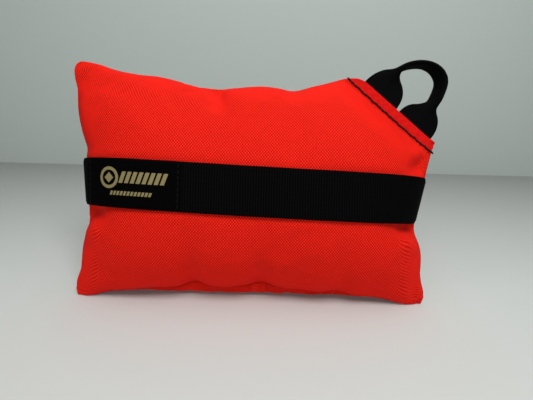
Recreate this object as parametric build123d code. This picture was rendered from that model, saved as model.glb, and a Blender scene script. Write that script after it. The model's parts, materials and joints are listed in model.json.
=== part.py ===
"""Pillow-shaped support bag: two sewn panels filled with sand, an elastic hand strap and a webbing carry loop.

Millimetres. The bag stands on its lower seam and its flattened lower back, and leans back. The floor is z = 0,
the long side runs along X, and the strap faces -Y. The origin is the middle of the flattened base.

Most pieces are laid out in the seam plane, the leaning plane that the side seams lie in. There u runs along the
bag, w runs up the leaning plane from the floor, and n is the height above the seam plane, towards the front.
"""
from build123d import *
import math
import os
from collections import namedtuple

os.makedirs("parts", exist_ok=True)

# How the filled bag stands
lean = 18.0            # backward lean of the seam plane, in degrees
base_middle = 19.0     # distance from the seam plane's foot back to the middle of the flattened base

# Seam outline of the filled bag
bottom_span = 199.0    # across the two lower corners
bag_height = 133.0     # floor to the upper left corner, along the seam plane
top_corner_out = 3.5   # how far the upper left corner reaches past the lower one
seam_rise = 7.0        # how far the lower seam lifts at its middle
top_dip = 10.0         # how far the upper seam dips at its middle
waist = 6.0            # how far each side seam draws in
hem_low_out = 3.3      # how far the hem's lower end reaches past the lower corner
hem_low_drop = 41.0    # how far the hem's lower end lies below the upper left corner
hem_angle = 40.2       # slope of the hem below the horizontal, in degrees
hem_depth = 6.5        # flat sewn strip between the hem's edge and the filled body
hem_end = 1.45         # hem past the webbing at each end
hem_overrun = 7.0      # how far the flat strip runs past the hem's upper end

# Filled body
front_depth = 28.0     # front crown above the seam plane
back_depth = 25.0      # back crown behind the seam plane
side_run = 60.0        # distance over which the sides rise to the crown
front_low_run = 52.0
front_top_run = 60.0
back_low_run = 24.0    # short, because the fill has slumped to the bottom
back_top_run = 80.0
base_sag = 8.0         # how far the slumped back would hang below its corners

# Materials and clearances
fabric = 0.8           # coated woven shell
seam_width = 3.0       # turned-in seam at the rim
liner = 0.4            # inner bag's film
ease = 0.3             # clearance between soft layers
stack_gap = 0.1        # clearance between pieces sewn on top of each other
thread = 0.5           # sewing thread
stitch_pitch = 3.0
stitch_length = 2.4
thread_seat = 1.2      # distance from the rim in to the closing seam's thread

# Elastic hand strap
strap_width = 25.4
strap_thickness = 1.5
strap_drop = 5.0       # how far the strap's middle lies below half the bag's height
strap_tilt = -1.8      # turn of the strap in the seam plane, in degrees
strap_end = 9.5        # lower corner in to where the free strap meets its sewn end
strap_gap = 0.3        # running clearance between the free strap and its sewn ends
tack_inset = 1.6       # distance of a tack from the strap's cut end

# Woven label on the strap
label_inset = 14.0     # lower left corner in to the label's left edge
label_length = 51.0
label_height = 23.0
label_thickness = 0.5
label_margin = 2.0     # label's edge to its stitch row

# Webbing carry loop
webbing_width = 24.0
webbing_thickness = 1.4
fold_ease = 0.5        # how much wider the folded grip is than half the webbing
grip_radius = 13.3     # centre line of the grip's half circle
grip_height = 19.7     # hem edge to the centre of that half circle
wing_gap = 2.0         # between the two flat ends, along the hem
tail_short = 1.5       # how far the webbing stops short of the hem's full depth
hinge_offset = 1.0     # hem edge to the line that the loop folds about
wing_straight = 4.0    # flat stretch before the webbing gathers into the grip
hem_skin = 1.2         # folded fabric on each side of the webbing
hem_stitch_inset = 3.6

Panel = namedtuple("Panel", "sign depth low_run top_run sag")
FRONT = Panel(1, front_depth, front_low_run, front_top_run, 0.0)
BACK = Panel(-1, back_depth, back_low_run, back_top_run, base_sag)

LEVELS = (0.0, 0.15, 0.3, 0.5, 0.7, 0.85, 0.93)
LONG_SIDE = (0.03, 0.13, 0.3, 0.5, 0.7, 0.87, 0.97)
SHORT_SIDE = (0.06, 0.35, 0.65, 0.94)

half_span = bottom_span / 2
reach = 2 * bottom_span                                   # side of the blocks that cut the bag
top_corner_u = half_span + top_corner_out
strap_middle_w = bag_height / 2 - strap_drop
strap_split_u = half_span - strap_end
label_left_u = label_inset - half_span
grip_width = webbing_width / 2 + fold_ease
wing_offset = (webbing_width + wing_gap) / 2
tail_depth = hem_depth - tail_short
hem_length = 2 * webbing_width + wing_gap + 2 * hem_end
hem_low_u = half_span + hem_low_out
hem_low_w = bag_height - hem_low_drop
slope = math.radians(hem_angle)
along_u, along_w = math.cos(slope), -math.sin(slope)      # down the hem
out_u, out_w = math.sin(slope), math.cos(slope)           # outward from the hem
hem_high_u = hem_low_u - hem_length * along_u
hem_high_w = hem_low_w - hem_length * along_w
lean_sin = math.sin(math.radians(lean))
lean_cos = math.cos(math.radians(lean))

seam_plane = Plane(origin=(0, -base_middle, 0), x_dir=(1, 0, 0), z_dir=(0, -lean_cos, lean_sin))
hem_middle_u = (hem_low_u + hem_high_u) / 2
hem_middle_w = (hem_low_w + hem_high_w) / 2
hem_place = seam_plane.location * Location((hem_middle_u, hem_middle_w, 0), (0, 0, -hem_angle))


def corners():
    """The five corners of the filled body's seam, from the lower left, with each side's bow and its points."""
    low = (hem_low_u - hem_depth * out_u, hem_low_w - hem_depth * out_w)
    high_u = hem_high_u - hem_depth * out_u - hem_overrun * along_u
    high_w = hem_high_w - hem_depth * out_w - hem_overrun * along_w
    return [(-half_span, 0.0), (half_span, 0.0), low, (high_u, high_w), (-top_corner_u, bag_height)]


def contour(panel, level, edge, crown):
    """Outline at one level between the seam (0) and the crown (1), moved in by edge at the seam and crown above."""
    rise = math.sin(math.radians(90 * level))
    draw = 1 - math.cos(math.radians(90 * level))
    inset = edge * (1 - rise) + crown * rise
    fade = (1 - rise) ** 2
    squeeze = 1 - (side_run * draw + inset) / half_span
    low = panel.low_run * draw + inset
    high = bag_height - panel.top_run * draw - inset
    ends = [(u * squeeze, low + w * (high - low) / bag_height) for u, w in corners()]
    bows = [seam_rise * fade - panel.sag * rise ** 2, waist * fade, 0.0, top_dip * fade, waist * fade]
    steps = [LONG_SIDE, SHORT_SIDE, SHORT_SIDE, LONG_SIDE, LONG_SIDE]
    points = []
    for index, fractions in enumerate(steps):
        a_u, a_w = ends[index]
        b_u, b_w = ends[(index + 1) % 5]
        side = math.hypot(b_u - a_u, b_w - a_w)
        in_u, in_w = (a_w - b_w) / side, (b_u - a_u) / side
        for t in fractions:
            bow = bows[index] * 4 * t * (1 - t)
            points.append((a_u + (b_u - a_u) * t + in_u * bow, a_w + (b_w - a_w) * t + in_w * bow))
    return points


def above(height):
    """Everything above a floor at this height."""
    return Location((0, 0, height + reach / 2)) * Box(reach, reach, reach)


def cushion(panel, edge, crown, floor=0.0):
    """One filled half, from the seam plane to its crown, moved in by edge at the seam and crown elsewhere."""
    wires = []
    for level in LEVELS:
        height = panel.sign * (panel.depth - crown) * math.sin(math.radians(90 * level))
        points = [(u, w, height) for u, w in contour(panel, level, edge, crown)]
        wires.append(Wire([Edge.make_spline([Vector(p) for p in points], periodic=True)]))
    return (seam_plane.location * Solid.make_loft(wires)) & above(floor)


def layer(inner, outer):
    """A sheet that follows the front panel, between two distances above it."""
    return cushion(FRONT, -outer, -outer) - cushion(FRONT, -inner, -inner)


def strap_box(u_low, u_high, w_low, w_high):
    """A box through the strap, in the strap's own tilted directions."""
    block = Location(((u_low + u_high) / 2, (w_low + w_high) / 2, 0)) * Box(u_high - u_low, w_high - w_low, reach)
    return seam_plane.location * Location((0, strap_middle_w, 0), (0, 0, strap_tilt)) * block


def seam_ring(inner, outer, half_height):
    """A flat ring that follows the closing seam, between two distances in from the rim."""
    faces = []
    for inset in (inner, outer):
        points = [Vector(u, w, -half_height) for u, w in contour(FRONT, 0.0, inset, inset)]
        faces.append(Face(Wire([Edge.make_spline(points, periodic=True)])))
    ring = extrude(faces[0], amount=2 * half_height, dir=(0, 0, 1)) - extrude(
        faces[1], amount=2 * half_height, dir=(0, 0, 1))
    return seam_plane.location * ring


def hem_block(out, depth, u_low, u_high, half_height):
    """A slab along the hem, from out beyond its edge to depth inside it."""
    block = Location(((u_low + u_high) / 2, (out - depth) / 2, 0)) * Box(u_high - u_low, out + depth, 2 * half_height)
    return hem_place * block


def make_panels():
    """Front and back shells, each with its turned seam and its half of the folded hem."""
    half_slab = webbing_thickness / 2 + ease / 2 + hem_skin
    slab = hem_block(0, hem_depth + seam_width / 2, -hem_length / 2 - hem_overrun, hem_length / 2, half_slab)
    slot = hem_block(1, tail_depth + ease, -wing_offset - webbing_width / 2 - ease,
                     wing_offset + webbing_width / 2 + ease, webbing_thickness / 2 + ease / 2)
    groove = seam_ring(thread_seat - ease / 2, thread_seat + thread + ease / 2, thread / 2 + ease / 2)
    front_half = seam_plane.location * (Location((0, 0, reach / 2)) * Box(reach, reach, reach))
    back_half = seam_plane.location * (Location((0, 0, -reach / 2)) * Box(reach, reach, reach))
    panels = []
    for panel, half in ((FRONT, front_half), (BACK, back_half)):
        shell = cushion(panel, 0, 0) - cushion(panel, seam_width, fabric, fabric)
        hem = slab & half
        hollow = cushion(panel, seam_width, fabric, fabric)
        panels.append(shell + (hem - hollow) - slot - groove)
    return panels


def make_liner(panel):
    """One sheet of the inner bag that holds the sand."""
    edge = seam_width + ease
    depth = fabric + ease
    return cushion(panel, edge, depth, depth) - cushion(panel, edge + 2 * liner, depth + liner, depth + liner)


def make_fill():
    """The sand, one body that fills the inner bag."""
    edge = seam_width + 2 * ease + 2 * liner
    depth = fabric + 2 * ease + liner
    return cushion(FRONT, edge, depth, depth) + cushion(BACK, edge, depth, depth)


def make_strap():
    """The free strap and its two sewn ends."""
    band = layer(ease, ease + strap_thickness)
    half = strap_width / 2
    free = band & strap_box(-strap_split_u, strap_split_u, -half, half)
    left = band & strap_box(-reach, -strap_split_u - strap_gap, -half, half)
    right = band & strap_box(strap_split_u + strap_gap, reach, -half, half)
    return free, left, right


def make_tack(side):
    """A short bar of thread that holds one strap end to the side seam."""
    top = ease + strap_thickness + stack_gap
    sheet = layer(top, top + thread / 2)
    middle = side * (half_span - waist - tack_inset)
    half = strap_width / 2 - tack_inset
    return sheet & strap_box(middle - thread, middle + thread, -half, half)


def make_label():
    """The woven label and its two rows of stitches."""
    face = ease + strap_thickness + stack_gap
    right = label_left_u + label_length
    half = label_height / 2
    label = layer(face, face + label_thickness) & strap_box(label_left_u, right, -half, half)
    top = face + label_thickness + stack_gap
    sheet = layer(top, top + thread / 2)
    stitches = []
    count = int(label_height / stitch_pitch)
    first = -(count - 1) / 2 * stitch_pitch
    for row in (label_left_u + label_margin, right - label_margin):
        for number in range(count):
            w = first + number * stitch_pitch
            box = strap_box(row - thread / 2, row + thread / 2, w - stitch_length / 2, w + stitch_length / 2)
            stitches.append((sheet & box).solids()[0])
    return label, Compound(stitches)


def make_wing(side):
    """One flat end of the loop, gathering from its full width into the folded grip."""
    middle = side * wing_offset
    root = Location((middle, hinge_offset, 0), (0, 90, 0)) * Cylinder(webbing_thickness / 2, webbing_width)
    flat = Location((middle, hinge_offset + wing_straight / 2, 0)) * Box(
        webbing_width, wing_straight, webbing_thickness)
    low = Plane(origin=(middle, hinge_offset + wing_straight, 0), x_dir=(1, 0, 0), z_dir=(0, 1, 0))
    high = Plane(origin=(side * grip_radius, grip_height, 0), x_dir=(1, 0, 0), z_dir=(0, 1, 0))
    gather = loft([low * Rectangle(webbing_width, webbing_thickness),
                   high * Rectangle(2 * webbing_thickness, grip_width)], ruled=True)
    return root + flat + gather


def make_loop():
    """The webbing outside the hem: two gathered ends and a half-circle grip."""
    outer = Cylinder(grip_radius + webbing_thickness, grip_width)
    inner = Cylinder(grip_radius - webbing_thickness, grip_width)
    upper = Location((0, grip_radius, 0)) * Box(4 * grip_radius, 2 * grip_radius, 2 * grip_width)
    grip = Location((0, grip_height, 0)) * ((outer - inner) & upper)
    return hem_place * (make_wing(-1) + make_wing(1) + grip)


def make_tails():
    """The two ends of the webbing, caught in the hem."""
    tails = []
    for side in (-1, 1):
        middle = side * wing_offset
        tails.append(hem_block(0, tail_depth, middle - webbing_width / 2, middle + webbing_width / 2,
                               webbing_thickness / 2).solid())
    return Compound(tails)


def make_hem_stitches():
    """The hem's stitches, one row on each face."""
    surface = webbing_thickness / 2 + ease / 2 + hem_skin
    span = hem_length + hem_overrun
    count = int(span / stitch_pitch)
    first = -hem_length / 2 - hem_overrun + (span - (count - 1) * stitch_pitch) / 2
    stitches = []
    for face in (-1, 1):
        for number in range(count):
            middle = first + number * stitch_pitch
            bar = Location((middle, -hem_stitch_inset, face * (surface + thread / 4)))
            stitches.append(hem_place * (bar * Box(stitch_length, thread, thread / 2)).solid())
    return Compound(stitches)


def make_grip_stitches():
    """The row that keeps the grip folded, on its outer face near the open edges."""
    count = int(math.pi * (grip_radius + webbing_thickness) / stitch_pitch) - 1
    step = 180.0 / count
    stitches = []
    for number in range(count):
        turn = Location((0, grip_height, 0), (0, 0, step * (number + 0.5)))
        place = Location((grip_radius + webbing_thickness + thread / 4, 0, -grip_width / 2 + webbing_thickness))
        stitches.append(hem_place * (turn * place * Box(thread / 2, stitch_length, thread)).solid())
    return Compound(stitches)


front_panel, back_panel = make_panels()
strap_free, strap_left, strap_right = make_strap()
woven_label, label_stitches = make_label()

nodes = {
    "front_panel": front_panel,
    "back_panel": back_panel,
    "seam_thread": seam_ring(thread_seat, thread_seat + thread, thread / 2),
    "liner_front": make_liner(FRONT),
    "liner_back": make_liner(BACK),
    "sand_fill": make_fill(),
    "hand_strap": strap_free,
    "strap_end_left": strap_left,
    "strap_end_right": strap_right,
    "strap_tack_left": make_tack(-1),
    "strap_tack_right": make_tack(1),
    "woven_label": woven_label,
    "label_stitches": label_stitches,
    "carry_loop": make_loop(),
    "carry_loop_tails": make_tails(),
    "grip_stitches": make_grip_stitches(),
    "hem_stitches": make_hem_stitches(),
}

for name, shape in nodes.items():
    export_step(shape, f"parts/{name}.step")
    box = shape.bounding_box()
    print(f"{name:18s} {len(shape.solids()):3d} solid(s) {shape.volume:12.1f} mm3 "
          f"x {box.min.X:7.1f} {box.max.X:7.1f}  y {box.min.Y:7.1f} {box.max.Y:7.1f}  "
          f"z {box.min.Z:7.1f} {box.max.Z:7.1f}")
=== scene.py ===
"""Looks of the pillow-shaped support bag: padded cloth shell, elastic strap, woven label and webbing loop.

Sizes in the classes are in millimetres, and become metres when a mesh is made. Most shapes are laid out
in the seam plane, the leaning plane that the side seams lie in: u runs along the bag, w up the leaning plane
from its foot, and n away from it towards the strap's side. The plane and the hem's line are read from the
frame's joints.
"""

import json
import logging
import math
from dataclasses import dataclass, field
from enum import Enum

import bpy
import numpy as np
from mathutils import Euler, Matrix, Vector

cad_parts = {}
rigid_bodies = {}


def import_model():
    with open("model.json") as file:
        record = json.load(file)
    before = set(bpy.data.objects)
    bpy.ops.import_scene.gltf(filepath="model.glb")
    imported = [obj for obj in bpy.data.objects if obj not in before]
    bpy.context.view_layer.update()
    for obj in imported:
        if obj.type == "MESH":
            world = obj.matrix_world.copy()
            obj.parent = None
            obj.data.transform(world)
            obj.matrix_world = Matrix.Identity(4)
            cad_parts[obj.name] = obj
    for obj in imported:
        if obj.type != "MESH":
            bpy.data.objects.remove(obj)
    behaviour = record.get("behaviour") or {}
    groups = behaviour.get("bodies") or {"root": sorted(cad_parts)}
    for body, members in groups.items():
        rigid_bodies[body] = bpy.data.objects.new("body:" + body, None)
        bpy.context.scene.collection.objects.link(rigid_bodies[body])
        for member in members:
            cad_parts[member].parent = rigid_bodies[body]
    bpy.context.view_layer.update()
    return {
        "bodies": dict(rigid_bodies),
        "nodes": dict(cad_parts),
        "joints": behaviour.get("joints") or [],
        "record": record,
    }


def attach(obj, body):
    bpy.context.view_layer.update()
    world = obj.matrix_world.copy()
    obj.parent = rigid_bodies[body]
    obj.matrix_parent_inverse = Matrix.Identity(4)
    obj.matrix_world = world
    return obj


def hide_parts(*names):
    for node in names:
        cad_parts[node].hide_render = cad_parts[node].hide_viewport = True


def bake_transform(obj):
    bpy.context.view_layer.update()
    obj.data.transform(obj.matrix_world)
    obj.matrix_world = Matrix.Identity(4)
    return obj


MM = 0.001
LOG = logging.getLogger("support_bag")
Array = np.ndarray


class Face(Enum):
    """The two sides of the bag."""

    FRONT = 1
    BACK = -1


# ---------------------------------------------------------------- curves and meshes


def smooth_line(guides: tuple, count: int) -> Array:
    """Evenly spaced points on a smooth line through a few guide points.

    Each coordinate is a natural cubic spline of the distance along the guides: between two guides it is
    a + b t + c t^2 + d t^3, with equal slopes and curvatures where two stretches meet.

    Args:
        guides: points to pass through, in order.
        count: number of points wanted.

    Returns:
        An array of count rows.
    """
    points = np.asarray(guides, float)
    step = np.linalg.norm(np.diff(points, axis=0), axis=1)
    knots = np.concatenate([[0.0], np.cumsum(step)])
    total = len(points)
    system = np.eye(total)
    rows = np.arange(1, total - 1)
    system[rows, rows - 1] = step[:-1]
    system[rows, rows] = 2 * (step[:-1] + step[1:])
    system[rows, rows + 1] = step[1:]
    slopes = np.diff(points, axis=0) / step[:, None]
    right = np.zeros_like(points)
    right[1:-1] = 3 * np.diff(slopes, axis=0)
    curve = np.linalg.solve(system, right)
    cubic = np.diff(curve, axis=0) / (3 * step[:, None])
    linear = slopes - step[:, None] * (2 * curve[:-1] + curve[1:]) / 3
    steps = 40
    fine = np.linspace(0, knots[-1], steps * total)
    span = np.clip(np.searchsorted(knots, fine, side="right") - 1, 0, total - 2)
    t = (fine - knots[span])[:, None]
    line = points[span] + linear[span] * t + curve[span] * t**2 + cubic[span] * t**3
    return at_shares(line, np.linspace(0, 1, count))


def at_shares(line: Array, shares: Array) -> Array:
    """Points at given shares of a dense polyline's length.

    Args:
        line: the polyline's points.
        shares: shares of its length, from 0 to 1.

    Returns:
        One point for each share.
    """
    run = run_along(line)
    return np.stack([np.interp(shares * run[-1], run, line[:, k]) for k in range(line.shape[1])], axis=1)


def run_along(line: Array) -> Array:
    """Distance from a polyline's start to each of its points."""
    return np.concatenate([[0.0], np.cumsum(np.linalg.norm(np.diff(line, axis=0), axis=1))])


def crowded(count: int) -> Array:
    """Shares from 0 to 1 that crowd towards both ends: 0.5 t + 0.5 (1 - cos(pi t)) / 2."""
    t = np.linspace(0, 1, count)
    return 0.5 * t + 0.25 * (1 - np.cos(math.pi * t))


def blur(grid: Array, cells: float) -> Array:
    """A grid smoothed by a bell curve along its rows and its columns, its edges held.

    Args:
        grid: rows by columns by values.
        cells: the bell's spread, in grid cells.

    Returns:
        The smoothed grid.
    """
    reach = int(3 * cells)
    offsets = np.arange(-reach, reach + 1)
    weights = np.exp(-0.5 * (offsets / cells) ** 2)
    weights = weights / weights.sum()
    for axis in (0, 1):
        pad = [(0, 0)] * grid.ndim
        pad[axis] = (reach, reach)
        wide = np.pad(grid, pad, mode="edge")
        size = grid.shape[axis]
        grid = sum(w * np.take(wide, np.arange(k, k + size), axis=axis) for k, w in enumerate(weights))
    return grid


def hold_rim(grid: Array) -> Array:
    """A copy of a grid that is 0 along its four edges."""
    held = np.zeros_like(grid)
    held[1:-1, 1:-1] = grid[1:-1, 1:-1]
    return held


def unit(vectors: Array) -> Array:
    """Vectors scaled to length one."""
    return vectors / np.maximum(np.linalg.norm(vectors, axis=-1, keepdims=True), 1e-9)


def grid_normals(points: Array) -> Array:
    """Normals of a grid surface: the cross product of its change along the columns and along the rows.

    Args:
        points: rows by columns by three.

    Returns:
        Unit normals, one for each point.
    """
    down, across = np.gradient(points, axis=(0, 1))
    return unit(np.cross(across, down))


def grid_faces(rows: int, columns: int, loop: bool = False, flip: bool = False) -> Array:
    """Corner numbers of a grid's quads.

    Args:
        rows: number of rows of points.
        columns: points in each row.
        loop: whether the last column joins the first.
        flip: whether the faces turn the other way.

    Returns:
        An array with four corner numbers a face.
    """
    index = np.arange(rows * columns).reshape(rows, columns)
    if loop:
        index = np.concatenate([index, index[:, :1]], axis=1)
    faces = np.stack([index[:-1, :-1], index[:-1, 1:], index[1:, 1:], index[1:, :-1]], axis=-1).reshape(-1, 4)
    return faces[:, ::-1] if flip else faces


def new_mesh(name: str, points: Array, faces: list, uv: Array | None = None) -> bpy.types.Object:
    """A smooth-shaded mesh object.

    Args:
        name: the piece's name.
        points: corner places in millimetres.
        faces: corner numbers of each face.
        uv: a flat place in millimetres for each corner, for patterns that follow the cloth.

    Returns:
        The object, linked to the scene.
    """
    mesh = bpy.data.meshes.new(name)
    mesh.from_pydata((points.reshape(-1, 3) * MM).tolist(), [], faces)
    mesh.update()
    mesh.polygons.foreach_set("use_smooth", np.ones(len(mesh.polygons), bool))
    if uv is not None:
        corner = np.zeros(len(mesh.loops), np.int32)
        mesh.loops.foreach_get("vertex_index", corner)
        layer = mesh.uv_layers.new(name="cloth")
        layer.uv.foreach_set("vector", uv.reshape(-1, 2)[corner].astype(np.float32).ravel())
    piece = bpy.data.objects.new(name, mesh)
    bpy.context.scene.collection.objects.link(piece)
    return piece


def grid_piece(name: str, points: Array, uv: Array, flip: bool = False) -> bpy.types.Object:
    """An open sheet from a grid of points."""
    return new_mesh(name, points, grid_faces(*points.shape[:2], flip=flip).tolist(), uv)


def band_piece(name: str, rings: Array, uv: Array) -> bpy.types.Object:
    """A closed band from rings of points, with both ends capped and the caps' edges kept crisp.

    Args:
        name: the piece's name.
        rings: one ring of points for each step along the band.
        uv: a flat place for each point.

    Returns:
        The object.
    """
    rows, columns = rings.shape[:2]
    faces = grid_faces(rows, columns, loop=True).tolist()
    last = (rows - 1) * columns
    faces.append(list(range(columns))[::-1])
    faces.append([last + k for k in range(columns)])
    piece = new_mesh(name, rings, faces, uv)
    mesh = piece.data
    ends = np.zeros(len(mesh.edges) * 2, np.int32)
    mesh.edges.foreach_get("vertices", ends)
    ends = ends.reshape(-1, 2)
    crisp = (ends < columns).all(axis=1) | (ends >= last).all(axis=1)
    mesh.attributes.new("sharp_edge", "BOOLEAN", "EDGE").data.foreach_set("value", crisp)
    point_outwards(piece)
    return piece


def point_outwards(piece: bpy.types.Object) -> None:
    """Turns a closed mesh's faces outwards, by the sign of the volume they enclose.

    Args:
        piece: the mesh object.
    """
    mesh = piece.data
    mesh.calc_loop_triangles()
    corner = np.zeros(len(mesh.loop_triangles) * 3, np.int32)
    mesh.loop_triangles.foreach_get("vertices", corner)
    place = np.zeros(len(mesh.vertices) * 3)
    mesh.vertices.foreach_get("co", place)
    a, b, c = place.reshape(-1, 3)[corner.reshape(-1, 3)].transpose(1, 0, 2)
    if np.sum(a * np.cross(b, c)) < 0:
        mesh.flip_normals()


def rounded_section(width: float, thickness: float, count: int = 28) -> Array:
    """A flat outline with round edges: x = w/2 |cos|^0.3 and y = t/2 |sin|^0.6, each with its sign kept.

    Args:
        width: across.
        thickness: through.
        count: number of points.

    Returns:
        The outline's points.
    """
    angle = np.arange(count) * 2 * math.pi / count
    cosine, sine = np.cos(angle), np.sin(angle)
    return np.stack([width / 2 * np.sign(cosine) * np.abs(cosine) ** 0.3,
                     thickness / 2 * np.sign(sine) * np.abs(sine) ** 0.6], axis=1)


def stitches(name: str, centre: Array, along: Array, out: Array,
             size: tuple[float, float, float]) -> bpy.types.Object:
    """A row of separate thread stitches as one piece.

    Each is a rounded bead: a ball stretched to the stitch's length, width and height.

    Args:
        name: the piece's name.
        centre: middle of each stitch.
        along: unit vector along each stitch.
        out: unit vector away from the cloth.
        size: length, width and height.

    Returns:
        The object.
    """
    rings, columns = 7, 8
    turn, rise = np.meshgrid(np.arange(columns) * 2 * math.pi / columns, np.linspace(0, math.pi, rings))
    ball = np.stack([np.cos(rise), np.sin(rise) * np.cos(turn), np.sin(rise) * np.sin(turn)], axis=-1)
    side = unit(np.cross(out, along))
    half = np.asarray(size) / 2
    beads = (centre[:, None, None] + along[:, None, None] * ball[None, ..., :1] * half[0]
             + side[:, None, None] * ball[None, ..., 1:2] * half[1]
             + out[:, None, None] * ball[None, ..., 2:] * half[2])
    single = grid_faces(rings, columns, loop=True)
    faces = (single[None] + rings * columns * np.arange(len(centre))[:, None, None]).reshape(-1, 4)
    uv = np.broadcast_to(ball[None, ..., :2] * half[:2], beads.shape[:-1] + (2,))
    piece = new_mesh(name, beads, faces.tolist(), uv)
    close_up(piece)
    return piece


def close_up(piece: bpy.types.Object) -> None:
    """Welds a mesh's doubled points and turns its faces outwards."""
    weld = piece.modifiers.new("weld", "WELD")
    weld.merge_threshold = 1e-6
    point_outwards(piece)


# ---------------------------------------------------------------- where things are


@dataclass(frozen=True)
class SeamPlane:
    """The leaning plane of the side seams, and the hem's line in it.

    Attributes:
        foot: the plane's lowest line, where w is 0.
        across: unit vector along the bag.
        up: unit vector up the plane.
        out: unit vector towards the strap's side.
        hem_point: middle of the hem's folding line.
        hem_along: unit vector down the hem.
        hem_out: unit vector in the plane, away from the hem.
    """

    foot: Array
    across: Array
    up: Array
    out: Array
    hem_point: Array
    hem_along: Array
    hem_out: Array

    @classmethod
    def from_frame(cls, frame: dict) -> "SeamPlane":
        """Reads the plane from the strap's slide and the loop's hinge.

        Args:
            frame: the frame that the pieces are built round.

        Returns:
            The plane.
        """
        joints = {joint["name"]: joint for joint in frame["joints"]}
        out = unit(np.asarray(joints["strap_lift"]["axis"], float))
        across = np.array([1.0, 0.0, 0.0])
        up = np.cross(out, across)
        hem_point = np.asarray(joints["loop_flop"]["pos_m"], float) / MM
        hem_along = unit(np.asarray(joints["loop_flop"]["axis"], float))
        foot = np.array([0.0, hem_point[1] - hem_point[2] * up[1] / up[2], 0.0])
        return cls(foot, across, up, out, hem_point, hem_along, np.cross(out, hem_along))

    def place(self, u: Array, w: Array, n: Array) -> Array:
        """Points of the row frame for seam-plane coordinates."""
        u, w, n = np.broadcast_arrays(u, w, n)
        return self.foot + u[..., None] * self.across + w[..., None] * self.up + n[..., None] * self.out

    def hem_place(self, e: Array, m: Array, n: Array) -> Array:
        """Points for distances along the hem, out from its folding line, and off the plane."""
        e, m, n = np.broadcast_arrays(e, m, n)
        return (self.hem_point + e[..., None] * self.hem_along + m[..., None] * self.hem_out
                + n[..., None] * self.out)


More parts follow.
